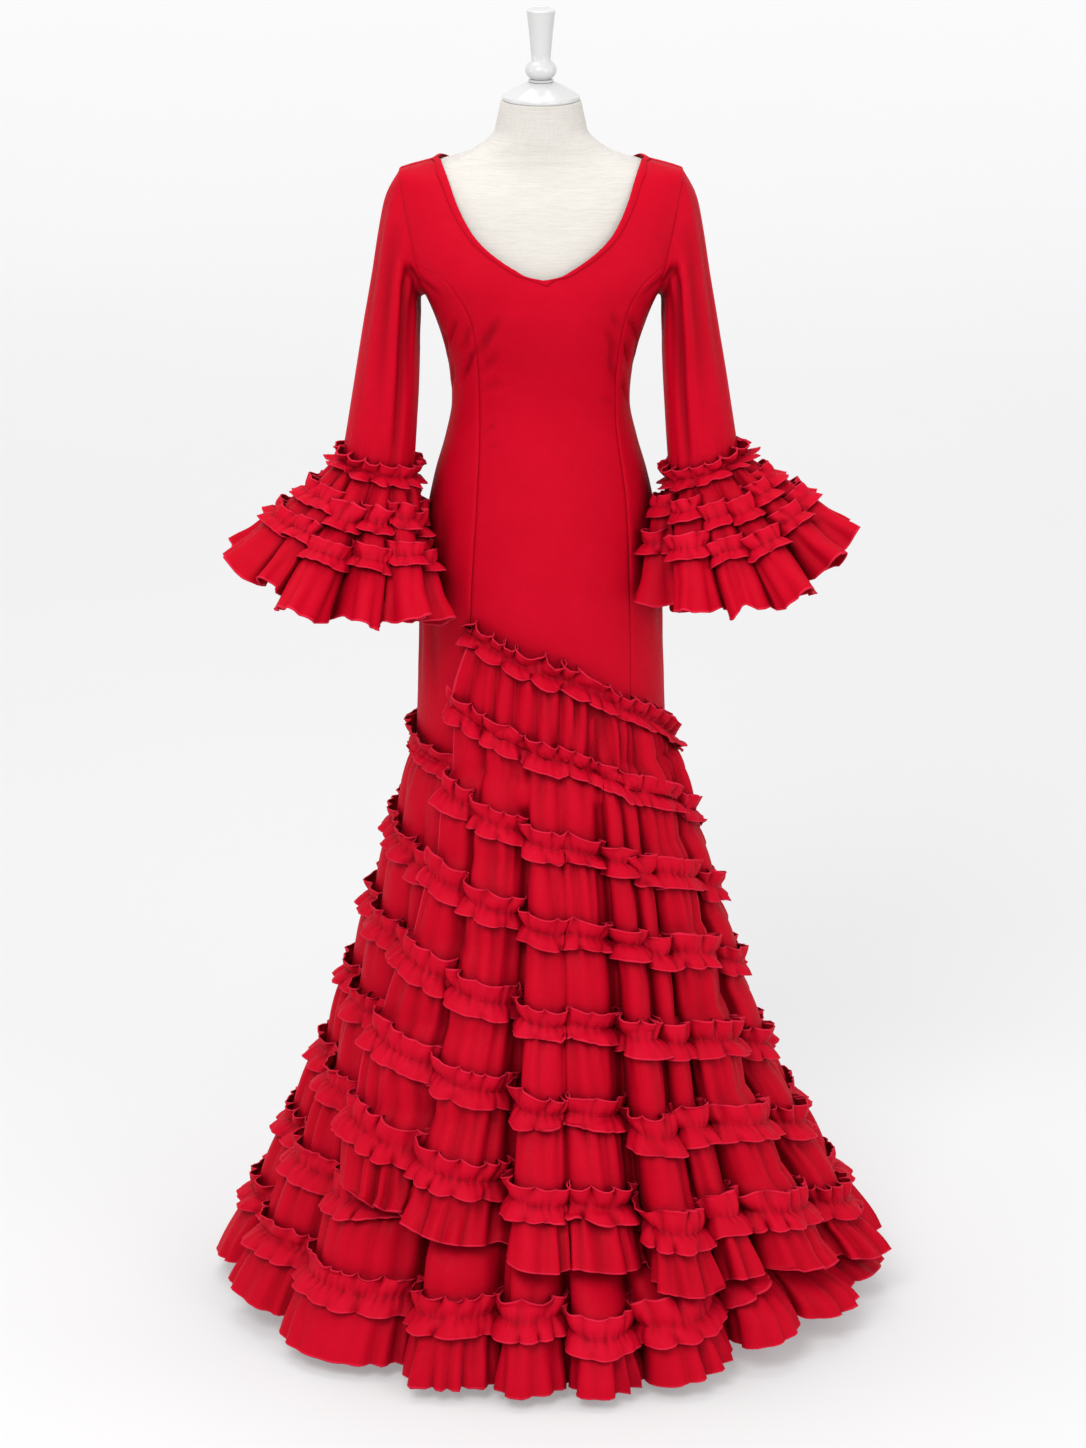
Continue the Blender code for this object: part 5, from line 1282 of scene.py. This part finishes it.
def cuff_tier(row, side, surfaces):
    hand = side_name(side)
    last = row + 2 == len(CUFF_ROWS)
    top = CUFF_ROWS[row][0] + SEAM_GAP / 2
    low = CUFF_ROWS[row + 1][0] - SEAM_GAP / 2
    height = math.hypot(low - top, CUFF_ROWS[row + 1][1] - CUFF_ROWS[row][1])
    middle = (top + low) / 2
    place, along, total = even_places(cuff_point, middle, 0.0, len(CUFF_FOLDS), CUFF_GRID[0], True, side)
    below = stations(height, CUFF_GRID[1], False, last)
    points = cuff_point(*on_grid(place, top + (below / height)[:, None] * (low - top)), side)
    s, d = along[None], below[:, None]
    seed = 900 + 10 * row + side
    out = CUFF_FLUTE_SWING * tube(waves(s, total, CUFF_FLUTE_WAVE, seed, True, 0.6)) * ease(d, 0, 0.02)
    if last:
        out = out * (1 + 1.6 * ease(d, 0.010, height))
    else:
        out = out * (1 - 0.5 * ease(d, height - 0.015, height))
    fine = tube(waves(s, total, CUFF_GATHER_WAVE, seed + 1, True))
    out = out + CUFF_GATHER_SWING * (fine - 0.3) * np.exp(-d / 0.014) * ease(d, 0, 0.006)
    normals = grid_normals(points, True, -1)
    points = points + smooth_along(normals, 5, True) * out[..., None]
    points = clear_of_body(points, CUFF_FROM_BODY - 0.006)
    gather = np.exp(-d / 0.016) + 0 * s
    # painted shade in the bottoms of the cuff's gathers
    crease = 0.7 * valley(fine) * np.exp(-d / 0.018) * ease(d, 0, 0.006)
    piece = grid_shell(f"cloth_cuff_tier_{hand}_{row + 1}", mirror(points, side), below, along, surfaces,
                       True, -side, "b" if last else "", gather, crease)


def cuff_ruffle(row, side, surfaces):
    hand = side_name(side)
    at = CUFF_ROWS[row][0]
    place, along, total = even_places(cuff_point, at, 0.0, len(CUFF_FOLDS), CUFF_STRIP_ALONG, True, side)
    turn = np.radians(folds(place, 0.0, cuff_starts, CUFF_DEEP, CUFF_GAPS)[0])
    end, before = (ring[None] for ring in sleeve_rings(side, turn)[:-3:-1])
    up = unit(before - end)

    def base(offset):
        points = cuff_point(*on_grid(place, np.maximum(at + CUFF_STRIP_SLANT * offset, 0.0)), side)
        over = end - up * np.minimum(offset, 0)[..., None]
        return np.where((at + offset < 0)[..., None], over, points)

    def fit(points):
        return clear_of_body(points, CUFF_STRIP_FROM_BODY)

    half = CUFF_STRIP_HALF
    piece = ruffle(f"cloth_cuff_ruffle_{hand}_{row + 1}", base, half, half, along, total, True,
                   1100 + 10 * row + 5 * side, flare=CUFF_RUFFLE_FLARE, trim=CUFF_TRIM, facing=-1,
                   fit=fit, surfaces=surfaces, rest=f"cloth_cuff_tier_{hand}_{row + 1}", **CUFF_RUFFLES[row])
    if side < 0:
        coords = np.empty(len(piece.data.vertices) * 3, np.float32)
        piece.data.vertices.foreach_get("co", coords)
        coords[::3] *= -1
        piece.data.vertices.foreach_set("co", coords)
        piece.data.flip_normals()


# ---------------------------------------------------------------- the dress form
def lathed(name, profile, segments, surface):
    """A closed solid of revolution about Z; profile runs up its outside as (radius, z)."""
    radius, height = np.array(profile, float).T[..., None]
    angle = np.arange(segments) * 2 * math.pi / segments
    rings = np.broadcast_arrays(radius * np.sin(angle), -radius * np.cos(angle), height)
    ring_solid(name, np.stack(rings, axis=-1), surface, 50)


def arc(x0, z0, x1, z1, bulge, count=8):
    """Points from one to another on a bulging curve."""
    t = np.linspace(0, 1, count)
    length = math.hypot(x1 - x0, z1 - z0)
    nx, nz = (z1 - z0) / length, -(x1 - x0) / length
    lift = bulge * 4 * t * (1 - t)
    return [(x0 + (x1 - x0) * a + nx * b, z0 + (z1 - z0) * a + nz * b) for a, b in zip(t, lift)]


form_clearance = smooth_curve(FORM_CLEARANCE)


def form_torso(surface):
    angles = np.arange(FORM_COLUMNS) * 360.0 / FORM_COLUMNS
    heights = np.concatenate([np.linspace(0.89, 1.50, 70), np.linspace(1.505, 1.606, 60)])
    rings = []
    for z in heights:
        level = np.full(FORM_COLUMNS, z)
        from_end = (np.abs((angles + 180) % 360 - 180) - 90) / 16
        more = 0.0045 * np.exp(-from_end ** 2) * math.exp(-((z - SHOULDER[1]) / 0.030) ** 2)
        depth = (form_clearance(z) + more)[:, None]
        rings.append(sheath_point(angles, level) - sheath_normal(angles, level) * depth)
    low = rings[0].copy()
    low[:, 2] = FORM_BOTTOM
    inner = low * np.array([0.97, 0.97, 1.0])
    middle = low * np.array([0.2, 0.2, 1.0])
    low[:, 2] += 0.006
    top = sheath_point(angles, np.full(FORM_COLUMNS, NECK_TOP))
    top[:, :2] *= NECK_RADIUS / SHEATH_SECTIONS[-1][1]
    near = [rings[-1] + (top - rings[-1]) * t for t in (0.25, 0.5, 0.75, 0.93)]
    rim = top * np.array([0.985, 0.985, 1.0])
    top[:, 2] -= 0.0012
    ring_solid("linen_torso", np.array([middle, inner, low] + rings + near + [top, rim]), surface, 60)


def form(linen, gloss, metal):
    form_torso(linen)
    cap, top = NECK_TOP + SEAM_GAP, NECK_TOP + SEAM_GAP + CAP_HEIGHT
    rim = cap + 0.0042
    profile = [(CAP_RADIUS - 0.0012, cap)]
    profile += arc(CAP_RADIUS, cap + 0.0010, CAP_RADIUS, rim - 0.0006, 0.0002, 4)
    profile += arc(CAP_RADIUS - 0.0002, rim + 0.0003, CAP_RADIUS - 0.0022, rim + 0.0022, 0.0004, 6)
    profile += arc(CAP_RADIUS - 0.0036, rim + 0.0031, COLLAR_RADIUS + 0.0008, top - 0.0003, 0.0011, 14)
    profile += [(COLLAR_RADIUS - 0.0005, top)]
    lathed("white_cap", profile, 128, gloss)
    knob = top + SEAM_GAP
    profile = [(COLLAR_RADIUS - 0.001, knob), (COLLAR_RADIUS, knob + 0.0008), (COLLAR_RADIUS, knob + 0.0024),
               (COLLAR_RADIUS - 0.0012, knob + 0.003)]
    middle = knob + 0.003 + KNOB_HEIGHT / 2
    for lean in np.radians(np.linspace(-KNOB_TURN, 52, 24)):
        above = KNOB_HEIGHT / 2 * math.sin(lean) / math.sin(math.radians(KNOB_TURN))
        profile.append((KNOB_RADIUS * math.cos(lean) ** 0.9, middle + above))
    profile += arc(0.0124, middle + KNOB_HEIGHT / 2 + 0.001, 0.0185, FINIAL_TOP - 0.0022, -0.0004, 8)
    profile += [(0.0188, FINIAL_TOP - 0.0012), (0.0182, FINIAL_TOP - 0.0004), (0.0168, FINIAL_TOP)]
    lathed("white_finial", profile, 96, gloss)
    pole = ((POLE_RADIUS, BASE_HEIGHT + SEAM_GAP), (POLE_RADIUS, FORM_BOTTOM - SEAM_GAP))
    lathed("metal_pole", pole, 48, metal)
    edge = [(BASE_RADIUS - 0.001, 0.0), (BASE_RADIUS, 0.001), (BASE_RADIUS, BASE_HEIGHT - 0.005)]
    edge += arc(BASE_RADIUS - 0.0005, BASE_HEIGHT - 0.0035, BASE_RADIUS - 0.006, BASE_HEIGHT - 0.0008,
                0.0006, 5)
    lathed("metal_base", edge + [(0.034, BASE_HEIGHT - 0.0003), (0.030, BASE_HEIGHT)], 128, metal)


# ---------------------------------------------------------------- surfaces
class Nodes:
    """A material under construction."""

    def __init__(self, name):
        self.material = bpy.data.materials.new(name)
        self.material.use_nodes = True
        self.tree = self.material.node_tree
        self.shader = self.tree.nodes["Principled BSDF"]

    def add(self, kind, inputs=(), **settings):
        node = self.tree.nodes.new(kind)
        for key, value in settings.items():       # first, because they choose the sockets
            setattr(node, key, value)
        for key, value in dict(inputs).items():
            if isinstance(value, bpy.types.NodeSocket):
                self.tree.links.new(value, node.inputs[key])
            else:
                node.inputs[key].default_value = value
        return node

    def maths(self, operation, a, b=0.0):
        return self.add("ShaderNodeMath", {0: a, 1: b}, operation=operation).outputs[0]

    def noise(self, place, scale, detail=2.0, rough=0.5):
        return self.add("ShaderNodeTexNoise", {"Vector": place, "Scale": scale, "Detail": detail,
                                               "Roughness": rough}).outputs["Fac"]

    def stretched(self, place, scale):
        return self.add("ShaderNodeMapping", {"Vector": place, "Scale": scale}).outputs["Vector"]

    def blend(self, share, low, high):
        return self.add("ShaderNodeMix", {0: share, 6: low, 7: high}, data_type="RGBA").outputs[2]

    def spread(self, value, low, high, to_low, to_high):
        node = self.add("ShaderNodeMapRange", {"Value": value, "From Min": low, "From Max": high,
                                               "To Min": to_low, "To Max": to_high})
        return node.outputs["Result"]

    def bump(self, height, strength, distance, **before):
        return self.add("ShaderNodeBump", {"Height": height, "Strength": strength, "Distance": distance,
                                           **before}).outputs[0]

    def set(self, **values):
        for key, value in values.items():
            socket = self.shader.inputs[key.replace("_", " ")]
            if isinstance(value, bpy.types.NodeSocket):
                self.tree.links.new(value, socket)
            else:
                socket.default_value = value


def crepe(name, deep, bright):
    """Fine matt crepe: a close pebbled weave, faint crinkles, and puckers beside a gathered seam."""
    made = Nodes(name)
    place = made.add("ShaderNodeTexCoord")
    body, cloth = place.outputs["Object"], place.outputs["UV"]
    gather = made.add("ShaderNodeAttribute", attribute_name="gather").outputs["Fac"]
    pebble = made.noise(body, 1900.0, 2.0, 0.6)
    thread = made.noise(made.stretched(cloth, (1500.0, 420.0, 1.0)), 1.0, 2.0, 0.6)
    crinkle = made.noise(body, 210.0, 3.0, 0.55)
    cloud = made.noise(body, 9.0, 3.0, 0.6)
    pucker = made.noise(made.stretched(cloth, (185.0, 15.0, 1.0)), 1.0, 2.0, 0.55)
    mottle = made.noise(body, 60.0, 3.0, 0.6)
    patchy = made.maths("ADD", made.maths("MULTIPLY", cloud, 0.7), made.maths("MULTIPLY", mottle, 0.3))
    shade = made.spread(patchy, 0.3, 0.7, 0.0, 1.0)
    # painted shade in the puckers beside a gathered seam: where the gather mask is high and the puckers fall
    # in, the colour darkens to 0.3 of the deep red
    pucker_shade = made.maths("MULTIPLY", gather, made.spread(pucker, 0.34, 0.56, 0.60, 0.0))
    pucker_shadow = tuple(0.30 * value for value in deep[:3]) + (1.0,)
    crease = made.add("ShaderNodeAttribute", attribute_name="crease").outputs["Fac"]
    # painted shade: the colour darkens towards the shadow colour where ambient occlusion finds the cloth
    # hemmed in by folds
    occlusion_shade = made.add("ShaderNodeAmbientOcclusion", {"Distance": 0.055}, samples=6).outputs["AO"]
    shadow = tuple(0.34 * value for value in deep[:3]) + (1.0,)
    lit = made.blend(made.spread(occlusion_shade, 0.10, 0.72, 0.0, 1.0), shadow, made.blend(shade, deep, bright))
    # painted shade along the creases that the pieces mark, up to 55 % of the way to the shadow colour
    lit = made.blend(made.maths("MULTIPLY", crease, 0.55), lit, shadow)
    made.set(Base_Color=made.blend(pucker_shade, lit, pucker_shadow))
    made.set(Roughness=made.spread(crinkle, 0.3, 0.7, 0.52, 0.68))
    fine = made.bump(made.maths("ADD", pebble, thread), 0.35, 0.00012)
    crinkled = made.bump(crinkle, 0.30, 0.0007, Normal=fine)
    made.set(Normal=made.bump(made.maths("MULTIPLY", pucker, gather), 0.70, 0.0030, Normal=crinkled))
    made.set(Specular_IOR_Level=0.045, Sheen_Weight=0.05, Sheen_Roughness=0.45)
    made.set(Sheen_Tint=(1.0, 0.05, 0.10, 1.0))
    return made.material


def linen_surface():
    made = Nodes("cream_linen_cloth")
    place = made.add("ShaderNodeTexCoord").outputs["Object"]
    warp = made.noise(made.stretched(place, (1300.0, 1300.0, 60.0)), 1.0, 2.0, 0.6)
    weft = made.noise(made.stretched(place, (70.0, 70.0, 1300.0)), 1.0, 2.0, 0.6)
    slub = made.noise(made.stretched(place, (28.0, 28.0, 620.0)), 1.0, 2.0, 0.5)
    weave = made.maths("ADD", warp, weft)
    tone = made.spread(made.maths("ADD", weave, slub), 1.1, 1.9, 0.0, 1.0)
    made.set(Base_Color=made.blend(tone, (0.49, 0.462, 0.42, 1), (0.585, 0.562, 0.53, 1)), Roughness=0.85)
    made.set(Normal=made.bump(weave, 0.5, 0.0004), Specular_IOR_Level=0.25, Sheen_Weight=0.10)
    made.set(Sheen_Roughness=0.5)
    return made.material


def gloss_surface():
    made = Nodes("gloss_white_paint")
    place = made.add("ShaderNodeTexCoord").outputs["Object"]
    ripple = made.noise(place, 120.0, 2.0, 0.5)
    made.set(Base_Color=made.blend(made.noise(place, 14.0), (0.49, 0.49, 0.485, 1), (0.54, 0.54, 0.54, 1)))
    made.set(Roughness=made.spread(made.noise(place, 40.0), 0.3, 0.7, 0.14, 0.24))
    made.set(Normal=made.bump(ripple, 0.08, 0.0006), Coat_Weight=0.35, Coat_Roughness=0.08)
    return made.material


def metal_surface():
    made = Nodes("pale_metal_paint")
    place = made.add("ShaderNodeTexCoord").outputs["Object"]
    grain = made.noise(place, 700.0, 2.0, 0.5)
    made.set(Base_Color=made.blend(made.noise(place, 18.0), (0.48, 0.48, 0.485, 1), (0.54, 0.54, 0.545, 1)))
    made.set(Roughness=made.spread(grain, 0.3, 0.7, 0.32, 0.46), Metallic=0.35)
    made.set(Normal=made.bump(grain, 0.15, 0.0003))
    return made.material


def backdrop_surface():
    made = Nodes("studio_paper_glowing")
    place = made.add("ShaderNodeTexCoord").outputs["Object"]
    made.set(Base_Color=made.blend(made.noise(place, 1.2), (0.475, 0.475, 0.48, 1), (0.49, 0.49, 0.49, 1)))
    # the paper glows, more strongly towards the back wall than under the dress: painted light that keeps the
    # sweep evenly white
    depth = made.add("ShaderNodeSeparateXYZ", {"Vector": place}).outputs["Y"]
    made.set(Roughness=0.9, Specular_IOR_Level=0.1, Emission_Color=(0.99, 0.99, 1.0, 1.0),
             Emission_Strength=made.spread(depth, 1.0, 8.5, 0.29, 0.54))
    return made.material


# ---------------------------------------------------------------- the studio
LAMPS = (
    # name, place, what it is aimed at, size, power
    ("key", (-1.3, -4.4, 4.6), (0.0, 0.0, 0.8), 2.4, 200.0),
    ("fill", (3.0, -4.0, 2.8), (0.0, 0.0, 0.8), 2.6, 62.0),
    ("top", (-0.4, 0.6, 4.4), (0.0, 0.0, 0.9), 2.4, 50.0),
    ("left_side", (-4.2, -0.6, 1.9), (0.0, 0.0, 1.0), 2.2, 18.0),
    ("right_side", (4.2, -0.6, 1.9), (0.0, 0.0, 1.0), 2.2, 18.0),
)
AIR_STRENGTH = 0.74
CAMERA_PLACE = (0.0026, -6.12, 2.745)
CAMERA_DOWN = 17.61                 # degrees that the camera looks down
CAMERA_LENS = 79.56                 # millimetres, on a sensor 24 high


def studio():
    wide, near, far, tall, bend = 13.0, -11.0, 9.0, 11.0, 3.0
    line = [(near, 0.0)] + [(far - bend + bend * math.sin(a), bend - bend * math.cos(a))
                            for a in np.linspace(0, math.pi / 2, 24)] + [(far, tall)]
    points = [(x, y, z) for y, z in line for x in (-wide, wide)]
    faces = [(2 * i, 2 * i + 1, 2 * i + 3, 2 * i + 2) for i in range(len(line) - 1)]
    mesh = bpy.data.meshes.new("studio_sweep")
    mesh.from_pydata(points, [], faces)
    mesh.shade_smooth()
    sweep = linked("studio_sweep", mesh)
    mesh.materials.append(backdrop_surface())
    world = bpy.data.worlds.new("studio_air")
    bpy.context.scene.world = world
    world.use_nodes = True
    air = world.node_tree.nodes["Background"]
    air.inputs["Color"].default_value = (1.0, 1.0, 1.0, 1.0)
    air.inputs["Strength"].default_value = AIR_STRENGTH
    for name, place, aim, size, power in LAMPS:
        lamp = bpy.data.lights.new(name, "AREA")
        lamp.shape = "SQUARE"
        lamp.size = size
        lamp.energy = power
        lit = linked(name, lamp)
        ahead = unit(np.array(aim) - np.array(place))
        lit.location = place
        lit.rotation_euler = (math.acos(-ahead[2]), 0.0, math.atan2(ahead[0], -ahead[1]) + math.pi)
    eye = bpy.data.cameras.new("camera")
    eye.sensor_fit = "VERTICAL"
    eye.sensor_height = 24.0
    eye.lens = CAMERA_LENS
    camera = linked("camera", eye)
    camera.location = CAMERA_PLACE
    camera.rotation_euler = (math.radians(90 - CAMERA_DOWN), 0.0, 0.0)
    bpy.context.scene.camera = camera
    bpy.context.scene.view_settings.view_transform = "Standard"


FORM_PIECES = {
    # piece: the node that it stands for, its slot
    "linen_torso": ("form_torso", "cream_linen"), "white_cap": ("form_cap", "gloss_white"),
    "white_finial": ("form_finial", "gloss_white"), "metal_pole": ("form_pole", "pale_metal"),
    "metal_base": ("form_base", "pale_metal"),
}


def build():
    red = crepe("red_crepe_cloth", (0.412, 0.0003, 0.0100, 1), (0.472, 0.0008, 0.0140, 1))
    # the ruffles' crepe is the same cloth made a little lighter: painted light on the ruffles
    strip_lit = crepe("red_crepe_strip_lit", (0.440, 0.0006, 0.0120, 1), (0.525, 0.0022, 0.0195, 1))
    # the edges' crepe is lighter and pinker: partly the rolled hems' own lighter thread, partly a painted
    # highlight along the edges
    edge = crepe("red_crepe_edge_thread_highlight", (0.520, 0.0080, 0.0300, 1), (0.580, 0.0130, 0.0420, 1))
    linen, gloss, metal = linen_surface(), gloss_surface(), metal_surface()
    reds, strips = (red, edge), (strip_lit, edge)
    form(linen, gloss, metal)
    front_centre(reds)
    for side in (-1, 1):
        hand = side_name(side)
        panel(f"back_centre_{hand}", centre_rows(True, side)[0], BACK_COLUMNS, side, True, reds)
        panel(f"front_side_{hand}", side_rows(False, side), SIDE_COLUMNS, side, False, reds)
        panel(f"back_side_{hand}", side_rows(True, side), SIDE_COLUMNS, side, True, reds)
    neck_binding(reds)
    for side in (-1, 1):
        sleeve(side, reds)
        for row in range(len(CUFF_RUFFLES)):
            cuff_tier(row, side, reds)
            cuff_ruffle(row, side, strips)
    for row in range(ROWS):
        underskirt_tier(row, reds)
        underskirt_ruffle(row, strips)
        flap_tier(row, reds)
        flap_ruffle(row, strips)
    for name, piece in MADE.items():
        node, slot = FORM_PIECES.get(name, (name.replace("cloth_", ""), "red_crepe"))
        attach(piece, "root")
        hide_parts(node)


studio()
build()
